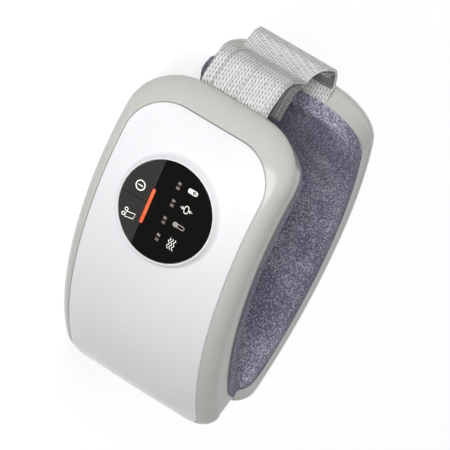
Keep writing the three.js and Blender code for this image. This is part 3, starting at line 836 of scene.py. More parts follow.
@dataclass(frozen=True)
class Webbing(Finish):
    """Ribbed elastic webbing."""

    shadow: tuple[int, int, int] = (122, 122, 120)
    edge: tuple[int, int, int] = (188, 188, 184)
    pitch: float = 0.0019
    stitch: float = 0.003
    half_width: float = 0.03
    relief: float = 0.0005

    def dress(self, nodes: Nodes, shader: bpy.types.Node) -> None:
        """Adds ribs with painted shade in their troughs, staggered stitch grooves with painted shade in them,
        and a plain selvedge.

        Args:
            nodes: The material's builder.
            shader: Its shader.
        """
        cloth = nodes.add("ShaderNodeUVMap", uv_map="Cloth").outputs[0]
        weave = placed_group(nodes, webbing_weave(), cloth, Pitch=self.pitch, Stitch=self.stitch,
                             Half_width=self.half_width)
        base, dark, edge = linear(*self.colour), linear(*self.shadow), linear(*self.edge)
        # Painted shade: the troughs between the ribs are a little darker.
        ribbed = nodes.mix(nodes.ramp(weave.outputs["Rib"], 0.1, 0.8), dimmed(base, 0.94), base)
        # Painted shade: the stitch grooves take the dark shadow colour.
        groove_shaded = nodes.mix(weave.outputs["Dash"], ribbed, dark)
        nodes.set(shader, Base_Color=nodes.mix(weave.outputs["Selvedge"], groove_shaded, edge), Sheen_Weight=0.15,
                  Sheen_Roughness=0.5, Specular_IOR_Level=0.3,
                  Normal=self.bump(nodes, weave.outputs["Height"], self.relief, 0.8))


@dataclass(frozen=True)
class Plush(Finish):
    """Short grey-violet plush."""

    # valley is painted shade: the colour given to the pile's hollows, where shade falls.
    valley: tuple[int, int, int] = (118, 116, 136)
    # tip is painted sheen: the colour given to fibre tips that catch the light.
    tip: tuple[int, int, int] = (236, 234, 248)
    sheen: tuple[int, int, int] = (205, 203, 222)
    clump: float = 760.0
    relief: float = 0.0007

    def dress(self, nodes: Nodes, shader: bpy.types.Node) -> None:
        """Adds clumped pile with painted shade in its hollows, painted sheen on its fibre tips, and broad
        patches of painted sheen and of painted shade.

        Args:
            nodes: The material's builder.
            shader: Its shader.
        """
        pile = placed_group(nodes, plush_pile(), self.coordinates(nodes), Clump=self.clump)
        base, valley, tip = linear(*self.colour), linear(*self.valley), linear(*self.tip)
        # Painted shade: low pile takes the valley colour.
        body = nodes.mix(nodes.ramp(pile.outputs["Height"], 0.3, 0.8), valley, base)
        # Painted sheen: bright speckles of the tip colour where fibre tips catch the light.
        bright = nodes.math("MULTIPLY_ADD", pile.outputs["Fibre"], 0.4, pile.outputs["Speck"])
        sheen_tipped = nodes.mix(nodes.ramp(bright, 0.66, 0.92), body, tip)
        # Painted shade: a dimmer copy of the pile, with more of the valley colour.
        dim = nodes.mix(0.12, body, valley)
        # brushed: broad patches of painted sheen on the pile, with painted shade between them.
        brushed = nodes.mix(nodes.ramp(pile.outputs["Patch"], 0.35, 0.65), dim, sheen_tipped)
        nodes.set(shader, Base_Color=brushed, Sheen_Weight=0.55, Sheen_Roughness=0.4,
                  Sheen_Tint=linear(*self.sheen), Specular_IOR_Level=0.1,
                  Normal=self.bump(nodes, pile.outputs["Height"], self.relief, 0.8))


@dataclass(frozen=True)
class Fabric(Finish):
    """Hook tape, lining or film with a fine regular texture."""

    cell: float = 1300.0
    relief: float = 0.0004
    contrast: float = 0.6

    def dress(self, nodes: Nodes, shader: bpy.types.Node) -> None:
        """Adds small knots with dark gaps between them.

        Args:
            nodes: The material's builder.
            shader: Its shader.
        """
        cells = nodes.add("ShaderNodeTexVoronoi", in_Vector=self.coordinates(nodes), in_Scale=self.cell,
                          in_Randomness=0.55)
        knot = nodes.ramp(cells.outputs["Distance"], 0.1, 0.6, 1.0, 0.0)
        base = linear(*self.colour)
        nodes.set(shader, Base_Color=nodes.mix(knot, dimmed(base, 1 - self.contrast), base),
                  Specular_IOR_Level=0.25, Normal=self.bump(nodes, knot, self.relief, 0.9))


@dataclass(frozen=True)
class Glow(Finish):
    """A lit light guide, or a printed icon with painted glow."""

    strength: float = 1.0
    tint: tuple[int, int, int] = (255, 130, 90)

    def dress(self, nodes: Nodes, shader: bpy.types.Node) -> None:
        """Adds light that varies softly over the piece; on a printed icon the light is painted glow.

        Args:
            nodes: The material's builder.
            shader: Its shader.
        """
        spots = nodes.ramp(nodes.noise(self.coordinates(nodes), 260.0, 1.0), 0.35, 0.7)
        lit = nodes.mix(spots, linear(*self.colour), linear(*self.tint))
        nodes.set(shader, Base_Color=lit, Emission_Color=lit, Emission_Strength=self.strength)


class Finishes:
    """Every finish of the object, by what it is used for."""

    white = Moulded("white_shell", (250, 250, 253), 0.22, relief=0.000004, coat=0.3, shift=0.985)
    grey = Moulded("grey_frame", (204, 207, 200), 0.22, relief=0.000004, coat=0.25, shift=0.95, specular=0.45)
    pale = Moulded("pale_plastic", (226, 228, 226), 0.35, relief=0.000006)
    inside = Moulded("inner_plastic", (128, 130, 134), 0.55, grain=1100.0, relief=0.00002)
    dark = Moulded("dark_plastic", (46, 46, 48), 0.5, grain=1200.0, relief=0.00002)
    gloss = Moulded("black_gloss", (10, 10, 8), 0.16, relief=0.000001, specular=0.06)
    key = Moulded("key_gloss", (30, 30, 27), 0.3, relief=0.000002, specular=0.34)
    film = Fabric("heating_film", (184, 119, 46), 0.5, cell=420.0, relief=0.00005, contrast=0.25)
    bag = Moulded("air_bag", (214, 214, 210), 0.6, grain=900.0, relief=0.00003)
    plush = Plush("plush", (198, 196, 216), 0.95)
    steel = Metal("steel", (190, 192, 194), 0.3)
    brass = Metal("motor_can", (176, 176, 174), 0.35)
    board = Fabric("circuit_board", (34, 96, 62), 0.45, cell=300.0, relief=0.00004, contrast=0.3)
    wrap = Moulded("battery_wrap", (70, 104, 168), 0.4, grain=700.0, relief=0.00002)
    webbing = Webbing("webbing", (236, 236, 234), 0.85, shadow=(78, 78, 80), edge=(214, 214, 211))
    grip = Fabric("grip_tape", (138, 139, 142), 0.9, cell=1000.0)
    # Painted shade: the same webbing as the outer strap, painted darker for the inner layers of the strap
    # loops.
    webbing_inside = Webbing("webbing_inside", (150, 150, 150), 0.9, shadow=(60, 60, 62),
                             edge=(128, 128, 128))
    glow = Glow("light_guide", (226, 84, 44), 0.4, strength=0.55, tint=(240, 112, 74))
    # Painted glow: the printed icons give off light of their own.
    icon = Glow("icon_white", (232, 232, 226), 0.5, strength=0.5, tint=(246, 244, 236))
    icon_dim = Glow("icon_grey", (150, 142, 138), 0.5, strength=0.25, tint=(176, 168, 162))


def dressed(thing: bpy.types.Object, finish: Finish, body: str, slot: str = "",
            *nodes: str) -> bpy.types.Object:
    """Gives a piece its finish and its body, and hides the CAD nodes that it stands for.

    Args:
        thing: The piece.
        finish: Its finish.
        body: The CAD body that it rides on.
        slot: Not used.
        nodes: CAD nodes that it replaces.

    Returns:
        The piece.
    """
    finish.put_on(thing)
    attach(thing, body)
    if nodes:
        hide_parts(*nodes)
    log.info("%s rides on %s", thing.name, body)
    return thing


# Half shells


@dataclass(frozen=True)
class Sizes:
    """The sizes that several sub-assemblies share, in millimetres."""

    clearance: float = 0.3
    cover: Outline = Outline(-81.0, 149.0, 48.0, 28.0, 13.0)
    cover_crown: float = 6.5
    cover_wall: float = 2.2
    cover_skirt: float = 4.0
    frame: Outline = Outline(-102.0, 156.0, 57.0, 36.0, 17.0)
    lip_drop: float = 0.4
    lip_depth: float = 4.4
    crease: float = 17.0
    crease_step: float = 0.5
    rim: float = 33.0
    wall: float = 2.4
    rim_width: float = 3.0
    strap_rim_width: float = 10.9
    bar_inset: float = 7.3
    bar_depth: float = 27.0
    strap_width: float = 58.0
    strap_thick: float = 1.8
    bar_radius: float = 1.0
    inner_depth: float = 5.4
    inner_wall: float = 2.4
    film: float = 0.3
    strap_radius: float = 157.0
    hinge_turn: float = 0.777
    hinge_gap: float = 1.64
    beyond_end: float = 6.2

    @property
    def strap_depth(self) -> float:
        """The depth of the strap's middle where it leaves its bar."""
        return self.bar_depth + self.bar_radius + self.clearance + self.strap_thick / 2

    @property
    def inner_back(self) -> float:
        """The depth where the inner shell's back lies."""
        return self.rim - self.inner_depth

    def plan(self) -> Plan:
        """The plan curve that follows from the frame's sizes, before it is shifted.

        Returns:
            The plan.
        """
        radius = self.frame.end / self.hinge_turn
        offset = radius - (radius - self.rim) * math.cos(self.hinge_turn) + self.hinge_gap
        return Plan(self.strap_radius, radius, offset)

    def pivot(self, plan: Plan) -> Points:
        """The hinge pin's place in plan, before the shift.

        Args:
            plan: The plan curve.

        Returns:
            Its x and y in millimetres.
        """
        turn = float(plan.turn(self.frame.end))
        reach = (plan.hinge_radius - plan.crown_offset + self.beyond_end * math.sin(turn)) / math.cos(turn)
        return np.array([reach * math.sin(turn) + self.beyond_end * math.cos(turn), 0.0])

    def cover_depth(self, s: Points, u: Points) -> Points:
        """The depth of the cover's outer surface below its crown, at places along and up."""
        along, across = self.cover.shares(s, u)
        return self.cover_crown * (1 - (1 - across**2) * (1 - along**6))

    def well(self, by: float = 0.0) -> Outline:
        """The opening inside the frame's rim, drawn in by a distance."""
        side = self.rim_width + self.clearance + by
        return self.frame.inset(side, self.strap_rim_width + self.clearance + by, side)


@dataclass
class HalfShell:
    """One half: its crowned cover and its bevelled ring frame."""

    half: Half
    plan: Plan
    sizes: Sizes = field(default_factory=Sizes)
    edge_round: float = 0.9
    rim_round: float = 0.8
    bevel_power: float = 1.75
    bevel_shares: tuple[float, ...] = (0.012, 0.05, 0.12, 0.2, 0.3, 0.4, 0.5, 0.6, 0.7, 0.78, 0.85, 0.9, 0.94,
                                       0.97, 0.985, 0.995)
    flange: float = 2.4
    slot_gap: float = 0.5
    slot_reach: float = 3.4
    cover_rings: int = 34
    under_shares: tuple[float, ...] = (1.0, 0.85, 0.6, 0.3, CENTRE)
    post_places: tuple[Place, ...] = ((-66, 32), (-66, -32), (124, 34), (124, -34))

    def ring(self, outline: Outline, depth: float | DepthOf) -> Points:
        """A ring of points: an outline laid at a depth.

        Args:
            outline: The outline.
            depth: A depth, or a function of s and u.

        Returns:
            The ring's points in millimetres.
        """
        rows = outline.points()
        s, u = rows[:, 0], rows[:, 1]
        d = depth(s, u) if callable(depth) else depth
        return self.plan.place(s, u, d, self.half)

    def under(self, by: float) -> DepthOf:
        """The depth function that lies a distance under the cover's surface.

        Args:
            by: The distance.

        Returns:
            The function.
        """

        def depth(s: Points, u: Points) -> Points:
            """The depth at places along and up."""
            return self.sizes.cover_depth(s, u) + by

        return depth

    def laid(self, rows: Points, by: float = 0.0) -> Points:
        """Rows of (s, u) laid a distance under the cover's surface, in millimetres."""
        return self.plan.place(*rows.T, self.sizes.cover_depth(*rows.T) + by, self.half)

    def fanned(self, centre: Place, share: float, edge: Outline, by: float) -> Points:
        """A ring a share of the way from a centre to an outline, a distance under the cover's surface."""
        return self.laid(np.array(centre) + (edge.points() - centre) * share, by)

    def plain_cover(self, name: str) -> bpy.types.Object:
        """The cover without a panel.

        Args:
            name: The object's name.

        Returns:
            The cover.
        """
        z, edge = self.sizes, self.sizes.cover
        top, inner = edge.inset(self.edge_round), edge.inset(z.cover_wall)
        centre = (edge.middle, 0.0)
        shares = [CENTRE, *np.linspace(0.0, 1.0, self.cover_rings)[1:]]
        rings = [self.fanned(centre, share, top, 0.0) for share in shares]
        rings += self.edge_rings(edge)
        rings += [self.fanned(centre, share, inner, z.cover_wall) for share in self.under_shares]
        return loft(name, rings)

    def edge_rings(self, edge: Outline) -> list[Points]:
        """The rings round the cover's edge and down its skirt.

        Args:
            edge: The cover's outline.

        Returns:
            The rings, from the outside to the inside.
        """
        z = self.sizes
        turned = []
        for angle in (math.pi / 6, math.pi / 3, math.pi / 2):
            drop = self.edge_round * (1 - math.cos(angle))
            out = self.edge_round * (1 - math.sin(angle))
            turned.append(self.ring(edge.inset(out), self.under(drop)))
        inner = edge.inset(z.cover_wall)
        return turned + [
            self.ring(edge, self.under(z.cover_skirt)),
            self.ring(inner, self.under(z.cover_skirt)),
        ]

    def bevelled(self, across: float, outer: Outline, drop: float, floor: float) -> Points:
        """A ring on the frame's bevel or on its inner side.

        Args:
            across: How far out the ring lies, from 0 at the cover to 1.
            outer: The outline where the bevel ends.
            drop: The distance under the frame's lip.
            floor: The depth where the bevel ends.

        Returns:
            The ring's points in millimetres.
        """
        deep = 1 - (1 - across**self.bevel_power) ** (1 / self.bevel_power)
        lip = self.under(self.sizes.lip_drop + drop)

        def depth(s: Points, u: Points) -> Points:
            """The depth at places along and up."""
            return lip(s, u) + (floor - lip(s, u)) * deep

        return self.ring(self.sizes.cover.inset(-self.sizes.clearance).mixed(outer, across), depth)

    def frame_ring(self, name: str) -> bpy.types.Object:
        """The bevelled ring frame, with a crease, a flat side wall and a rim.

        Args:
            name: The object's name.

        Returns:
            The frame.
        """
        z = self.sizes
        inside, outside = z.cover.inset(-z.clearance), z.frame
        wall_inside, step = outside.inset(z.wall), outside.inset(z.crease_step)
        rim = outside.inset(z.rim_width, z.strap_rim_width, z.rim_width)
        rings = [self.ring(inside, self.under(z.lip_drop + 0.5))]
        rings += [self.bevelled(share, outside, 0.0, z.crease) for share in self.bevel_shares]
        rings += [self.ring(outside, z.crease), self.ring(outside, z.crease + 0.5)]
        walls = np.linspace(z.crease + 2, z.rim - self.rim_round - 0.3, 6)
        rings += [self.ring(step, depth) for depth in (z.crease + 0.9, *walls)]
        for angle in (0, math.pi / 6, math.pi / 3, math.pi / 2):
            into = self.rim_round * (1 - math.cos(angle))
            rings.append(self.ring(step.inset(into), z.rim - self.rim_round * (1 - math.sin(angle))))
        rings += [
            self.ring(rim.inset(-0.3), z.rim),
            self.ring(rim, z.rim - 0.3),
            self.ring(rim, z.rim - self.flange),
            self.ring(wall_inside, z.rim - self.flange),
            self.ring(wall_inside, z.crease + z.wall),
            self.bevelled(0.75, wall_inside, z.lip_depth, z.crease + z.wall),
            self.ring(inside, self.under(z.lip_drop + z.lip_depth)),
        ]
        return loft(name, rings, looped=True)

    def strap_slot(self) -> bpy.types.Object:
        """The cutter for the slot that the strap leaves through.

        Returns:
            The cutter.
        """
        z = self.sizes
        thick = z.strap_thick / 2 + self.slot_gap
        high = z.strap_width / 2 + self.slot_gap
        tool = block("slot", *((-reach, reach) for reach in (self.slot_reach, thick, high)))
        settled(tool, self.plan.seat(z.frame.start, 0.0, z.strap_depth, self.half))
        return rounded(tool, 0.4)

    def build(self) -> None:
        """Builds and dresses the cover and the frame."""
        label, body = self.half.label, self.half.body
        if self.half is Half.FAR:
            dressed(self.plain_cover("far_cover_shell"), Finishes.white, body, "white_shell", "far_cover")
        ring = carved(self.frame_ring(f"{label}_ring_frame"), self.strap_slot())
        if self.half is Half.NEAR:
            carved(ring, Socket(self.plan, self.sizes).cutter())
        shade(ring, SHARP)
        dressed(ring, Finishes.grey, body, "grey_frame", f"{label}_frame")
        for number, (s, u) in enumerate(self.post_places, 1):
            self.post(number, s, u)

    def post(self, number: int, s: float, u: float) -> None:
        """A screw post under the cover.

        Args:
            number: The post's number.
            s: Its place along the curve.
            u: Its height.
        """
        z = self.sizes
        top = float(z.cover_depth(s, u)) + z.cover_wall * 0.7
        high = z.inner_back - z.clearance - top
        foot, post, bore = 3.6, 3.0, 1.4
        profile = ((foot, 0.0), (post, 1.2), (post, high - 0.3), (post - 0.3, high), (bore, high),
                   (bore, high - 5))
        rings = [round_ring(radius, y, 32) for radius, y in profile]
        thing = loft(f"{self.half.label}_cover_post_{number}", rings, capped=True)
        settled(thing, self.plan.seat(s, u, top, self.half))
        dressed(thing, Finishes.white, self.half.body, "white_shell")


@dataclass
class Socket:
    """The charging socket's mouth in the lower wall of the near frame."""

    plan: Plan
    sizes: Sizes = field(default_factory=Sizes)
    place: float = -8.0
    width: float = 9.0
    height: float = 3.4
    corner: float = 1.6
    wall: float = 0.7
    before_rim: float = 9.0

    def outline(self, margin: float) -> Points:
        """The mouth's outline, grown by a margin.

        Args:
            margin: The margin.

        Returns:
            Rows of (x, y).
        """
        radius = self.corner + margin
        x, y = (size / 2 + margin - radius for size in (self.width, self.height))
        rows = []
        for index, middle in enumerate(((x, y), (-x, y), (-x, -y), (x, -y))):
            rows += arc(middle, radius, index * math.pi / 2, math.pi / 2, 8)
        return np.array(rows)

    def cutter(self) -> bpy.types.Object:
        """The cutter for the socket's hole.

        Returns:
            The cutter, in its seat.
        """
        rows = self.outline(self.wall + self.sizes.clearance)
        reach = self.sizes.wall + 2
        rings = [np.column_stack([rows, np.full(len(rows), z)]) for z in (-reach, reach)]
        tool = loft("socket_hole", rings, capped=True)
        depth = self.sizes.rim - self.before_rim
        return settled(tool, self.plan.seat(self.place, -self.sizes.frame.half, depth))


# Panel


@dataclass
class Panel:
    """The round panel on the near cover: boss, lens, light bar, two keys and their icons."""

    plan: Plan
    sizes: Sizes = field(default_factory=Sizes)
    place: float = -22.0
    radius: float = 30.5
    boss_wall: float = 1.1
    boss_flare: float = 1.4
    fillet: float = 1.7
    proud: float = 1.3
    lens: float = 2.0
    recess: float = 2.4
    seat: float = 3.0
    key_split: float = 1.0
    key_thick: float = 1.3
    dome: float = 0.3
    bar_length: float = 22.8
    bar_width: float = 2.1
    bar_place: float = 2.4
    bar_height: float = -11.3
    rim_round: float = 0.45
    lens_points: int = 160
    ink: float = 0.06
    pen: float = 0.52
    battery_at: Place = (-19.6, 11.4)
    pressure_at: Place = (-8.2, 11.9)
    heat_at: Place = (3.2, 11.2)
    massage_at: Place = (15.2, 11.6)
    marks_at: tuple[Place, ...] = ((-18.6, 1.8), (-7.5, 2.5), (4.4, 1.9), (15.7, 2.3))
    power_at: Place = (-6.6, -20.2)
    mode_shape: tuple[Place, ...] = ((11.9, -21.8), (10.9, -15.9), (14.2, -16.3), (15.3, -21.8))
    mode_dots: tuple[Place, ...] = ((14.1, -23.3), (10.7, -22.4))

    def face(self) -> Matrix:
        """The seat of the panel's face: x along the curve, y inward from the face, z up."""
        return self.plan.seat(self.place, 0.0, -self.proud)

    def in_plane(self, x: Points, y: Points, z: Points) -> Points:
        """Points of the panel's own frame, in the part's frame.

        Args:
            x: Distance along the panel.
            y: Distance inward from its face.
            z: Height.

        Returns:
            The points in millimetres.
        """
        face = np.array(self.face())
        rows = np.stack(np.broadcast_arrays(x, y, z), axis=-1).reshape(-1, 3) * MM
        return (rows @ face[:3, :3].T + face[:3, 3]) / MM

    def on_cover(self, x: Points, z: Points) -> Points:
        """The (s, u) of cover points that lie at x and z in the panel's own frame.

        Args:
            x: Distance along the panel.
            z: Height.

        Returns:
            Rows of (s, u).
        """
        face = np.array(self.face())
        s = self.place + np.asarray(x, float)
        for _ in range(6):
            points = self.plan.place(s, z, self.sizes.cover_depth(s, z)) * MM
            s = s + (x - ((points - face[:3, 3]) @ face[:3, 0]) / MM)
        return np.column_stack([s, np.broadcast_to(z, s.shape)])

    def cover(self) -> bpy.types.Object:
        """The near cover with its boss, recess and hole in one surface.

        Returns:
            The cover.
        """
        z, shell = self.sizes, HalfShell(Half.NEAR, self.plan, self.sizes)
        rows = z.cover.inset(shell.edge_round).points()
        flat = rows - self.on_cover(np.zeros(1), np.zeros(1))[0]
        angles = np.arctan2(flat[:, 1], flat[:, 0])
        cos, sin = np.cos(angles), np.sin(angles)

        def flat_ring(radius: float, y: float) -> Points:
            """A ring in the panel's own frame."""
            return self.in_plane(radius * cos, y, radius * sin)

        lens = self.radius + z.clearance
        top = lens + self.boss_wall
        foot = top + self.boss_flare + self.fillet
        reach, deep, turn = self.radius - self.seat, self.recess + z.clearance, self.rim_round
        inner_side = self.proud + z.cover_wall + self.seat
        profile = [(reach, inner_side), (reach, deep + 0.2), (reach + 0.2, deep), (lens, deep),
                   (lens, z.clearance + 0.25), (lens + 0.08, z.clearance + 0.08), (lens + 0.25, z.clearance),
                   (top - turn, z.clearance)]
        profile += [(top - turn + turn * math.sin(angle), z.clearance + turn * (1 - math.cos(angle)))
                    for angle in (math.pi / 8, math.pi / 4, 3 * math.pi / 8)]
        rings = [flat_ring(radius, y) for radius, y in profile]
        for share in np.linspace(0.0, 1.0, 10):
            radius = top + (foot - top) * share
            low = shell.laid(self.on_cover(radius * cos, radius * sin))
            high = flat_ring(radius, z.clearance + turn)
            rings.append(low + (high - low) * (1 - share) ** 2.6)
        base = self.on_cover(foot * cos, foot * sin)
        rings += [shell.laid(base + (rows - base) * share)
                  for share in np.linspace(0.0, 1.0, shell.cover_rings)[1:]]
        rings += shell.edge_rings(z.cover)
        inner = z.cover.inset(z.cover_wall).points()
        under = self.on_cover((top + self.boss_flare) * cos, (top + self.boss_flare) * sin)
        rings += [shell.laid(inner + (under - inner) * share, z.cover_wall) for share in (0.0, 0.3, 0.7, 1.0)]
        rings.append(flat_ring(top + self.boss_flare, inner_side))
        return loft("near_cover_shell", rings, looped=True, sharp=38.0)

    def dome_at(self, x: Points, z: Points) -> Points:
        """How far the domed face lies behind the panel's plane at (x, z)."""
        share = np.hypot(x, z) / self.radius
        return np.interp(share, [0.0, 0.5, 0.85, 0.99], [0.0, 0.25 * self.dome, 0.72 * self.dome, self.dome])

    def disc(self, name: str, thick: float) -> bpy.types.Object:
        """The whole lens as a disc with a domed face.

        Args:
            name: The object's name.
            thick: The disc's thickness.

        Returns:
            The disc.
        """
        radius, dome = self.radius, self.dome
        profile = [(radius * share, float(self.dome_at(radius * share, 0.0)))
                   for share in (CENTRE, 0.2, 0.4, 0.55, 0.7, 0.8, 0.88, 0.94)]
        profile += [(radius - 0.5, dome * 0.98), (radius - 0.2, dome + 0.08), (radius - 0.05, dome + 0.22),
                    (radius, dome + 0.42), (radius, thick), (CENTRE, thick)]
        return loft(name, [round_ring(reach, y, self.lens_points) for reach, y in profile])

    def bar_outline(self, margin: float) -> Points:
        """The light bar's outline, grown by a margin.

        Args:
            margin: The margin.

        Returns:
            Rows of (x, z).
        """
        radius, reach = self.bar_width / 2 + margin, (self.bar_length - self.bar_width) / 2
        rows = arc((self.bar_place + reach, self.bar_height), radius, -math.pi / 2, math.pi, 12)
        rows += arc((self.bar_place - reach, self.bar_height), radius, math.pi / 2, math.pi, 12)
        return np.array(rows)

    def part(self, name: str, thick: float, x: Place, z: Place) -> bpy.types.Object:
        """The part of the disc between two values of x and of z, less the light bar's slot.

        Args:
            name: The object's name.
            thick: The part's thickness.
            x: Where it begins and ends along the panel.
            z: Where it begins and ends in height.

        Returns:
            The part, in its seat.
        """
        thing, through = self.disc(name, thick), (-5.0, 8.0)
        carved(thing, block("block", x, through, z), "INTERSECT")
        carved(thing, prism("bar_slot", self.bar_outline(self.sizes.clearance), *through))
        rounded(thing, 0.12, 2, 50.0)
        return settled(thing, self.face())

    def stroke(self, rows: Sequence[tuple[float, float]], width: float, closed: bool = False) -> list[Points]:
        """The two sides of a line drawn with a pen of some width.

        Args:
            rows: The line's points as (x, z).
            width: The pen's width.
            closed: True if the line ends where it began.

        Returns:
            The outer and the inner side, as rows of (x, z).
        """
        line = np.array(rows, float)
        before, after = np.roll(line, 1, axis=0), np.roll(line, -1, axis=0)
        if not closed:
            before[0], after[-1] = line[0], line[-1]
        along = after - before
        along /= np.maximum(np.linalg.norm(along, axis=1, keepdims=True), 1e-9)
        side = np.column_stack([-along[:, 1], along[:, 0]]) * width / 2
        return [line + side, line - side]

    def printed(self, name: str, strokes: Sequence[tuple[list[Points], bool]], finish: Finish,
                body: str = Half.NEAR.body) -> None:
        """Raises strokes and filled shapes a hair above the panel's face.

        Args:
            name: The piece's name.
            strokes: Pairs of sides and whether they close on themselves.
            finish: The ink's finish.
            body: The body that the ink rides on.
        """
        points: list[Points] = []
        faces: list[list[int]] = []
        for sides, closed in strokes:
            count = len(sides[0])
            start = sum(len(item) for item in points)
            for level in (0.0, self.ink):
                for side in sides:
                    y = self.dome_at(side[:, 0], side[:, 1]) - level + 0.01
                    points.append(np.column_stack([side[:, 0], y, side[:, 1]]))
            low_a, low_b, high_a, high_b = (start + count * i for i in range(4))
            turn = (low_a, high_a, high_b, low_b)
            for i in range(count if closed else count - 1):
                j = (i + 1) % count
                faces += [[p + i, p + j, q + j, q + i] for p, q in zip(turn, turn[1:] + turn[:1])]
            if not closed:
                faces += [[side + i for side in turn] for i in (0, count - 1)]
        thing = make_mesh(name, np.concatenate(points), faces)
        dressed(settled(thing, self.face()), finish, body)

    def circle(self, x: float, z: float, rx: float, rz: float, count: int = 28) -> list[Place]:
        """Points round an ellipse."""
        return [(x + rx * cos, z + rz * sin) for cos, sin in arc((0, 0), 1.0, 0.0, 2 * math.pi, count)[:-1]]

    def loop(self, rows: Sequence[Place], pen: float) -> tuple[list[Points], bool]:
        """A closed stroke."""
        return (self.stroke(rows, pen, True), True)

    def line(self, rows: Sequence[Place], pen: float) -> tuple[list[Points], bool]:
        """An open stroke."""
        return (self.stroke(rows, pen), False)

    def pill(self, x: float, z: float, half_x: float, half_z: float) -> list[Place]:
        """Points round an upright pill."""
        reach = half_z - half_x
        return arc((x, z + reach), half_x, 0.0, math.pi, 8) + arc((x, z - reach), half_x, math.pi, math.pi, 8)

    def function_icons(self) -> None:
        """Prints the battery, pressure, heat and massage icons."""
        pen, thin = self.pen, self.pen * 0.75
        x, z = self.battery_at
        battery = [self.loop(self.pill(x, z, 1.25, 3.0), pen), self.line([(x, z - 3.1), (x, z + 0.1)], 2.7),
                   self.loop(self.circle(x, z + 1.7, 0.55, 0.6, 18), 0.3)]
        self.printed("battery_icon", battery, Finishes.icon)
        x, z = self.pressure_at
        ring = [self.loop(self.circle(x, z, 2.4, 1.45), pen * 0.9)]
        for side in (1, -1):
            tip = z + side * 1.9
            ring += [self.line([(x, tip + side * 2.2), (x, tip)], thin),
                     self.line([(x - 0.9, tip + side), (x, tip), (x + 0.9, tip + side)], thin)]
        self.printed("pressure_icon", ring, Finishes.icon)
        x, z = self.heat_at
        heat = [self.loop(self.pill(x, z + 1.3, 1.0, 2.9), pen),
                self.loop(self.circle(x, z - 1.9, 0.85, 0.85), 1.7)]
        self.printed("heat_icon", heat, Finishes.icon_dim)
        x, z = self.massage_at
        across = np.linspace(0.0, 1.0, 21)
        wave = z + 0.55 * np.sin(across * 4.6 * math.pi)
        waves = [self.line(np.column_stack([x - 3.5 + across * 7.0, wave + up]), thin)
                 for up in (-1.7, 0.0, 1.7)]
        self.printed("massage_icon", waves, Finishes.icon)

    def other_marks(self) -> None:
        """Prints the level marks under the icons and the signs on the two keys."""
        for index, (x, z) in enumerate(self.marks_at, 1):
            marks = [self.line([(x + dx - 0.9, z + dz), (x + dx + 0.9, z + dz)], 0.34)
                     for dx in (-1.5, 1.5) for dz in (-0.8, 0.0, 0.8)]
            marks.append(self.line([(x - 1.5, z - 0.8), (x - 1.5, z + 0.8)], 0.4))
            self.printed(f"level_marks_{index}", marks, Finishes.icon_dim)
        x, z = self.power_at
        power = [self.loop(self.circle(x, z, 2.95, 2.95), self.pen * 1.4),
                 self.line([(x, z - 1.7), (x, z + 1.7)], self.pen * 1.3)]
        self.printed("power_icon", power, Finishes.icon, "power_key")
        mode = [self.loop(self.mode_shape, self.pen)]
        mode += [self.loop(self.circle(*dot, 1.0, 1.0, 18), self.pen) for dot in self.mode_dots]
        self.printed("mode_icon", mode, Finishes.icon, "mode_key")

    def build(self) -> None:
        """Builds and dresses the panel."""
        gap, wide, body = self.sizes.clearance / 2, self.radius * 2, Half.NEAR.body
        dressed(self.cover(), Finishes.white, body, "white_shell", "near_cover")
        upper = self.part("panel_window", self.lens, (-wide, wide), (self.bar_height + gap, wide))
        dressed(upper, Finishes.gloss, body, "black_gloss", "panel_lens")
        lower, split = (-wide, self.bar_height - gap), self.key_split
        for key, x in (("power_key", (-wide, split - gap)), ("mode_key", (split + gap, wide))):
            cap = self.part(f"{key}_cap", self.key_thick, x, lower)
            dressed(cap, Finishes.key, key, "black_gloss", key)
        bar = rounded(prism("light_guide_bar", self.bar_outline(0.0), self.dome * 0.4, self.lens), 0.3, 3)
        dressed(settled(bar, self.face()), Finishes.glow, body, "light_guide", "light_bar")
        self.function_icons()
        self.other_marks()


# Soft pads and what lies behind them


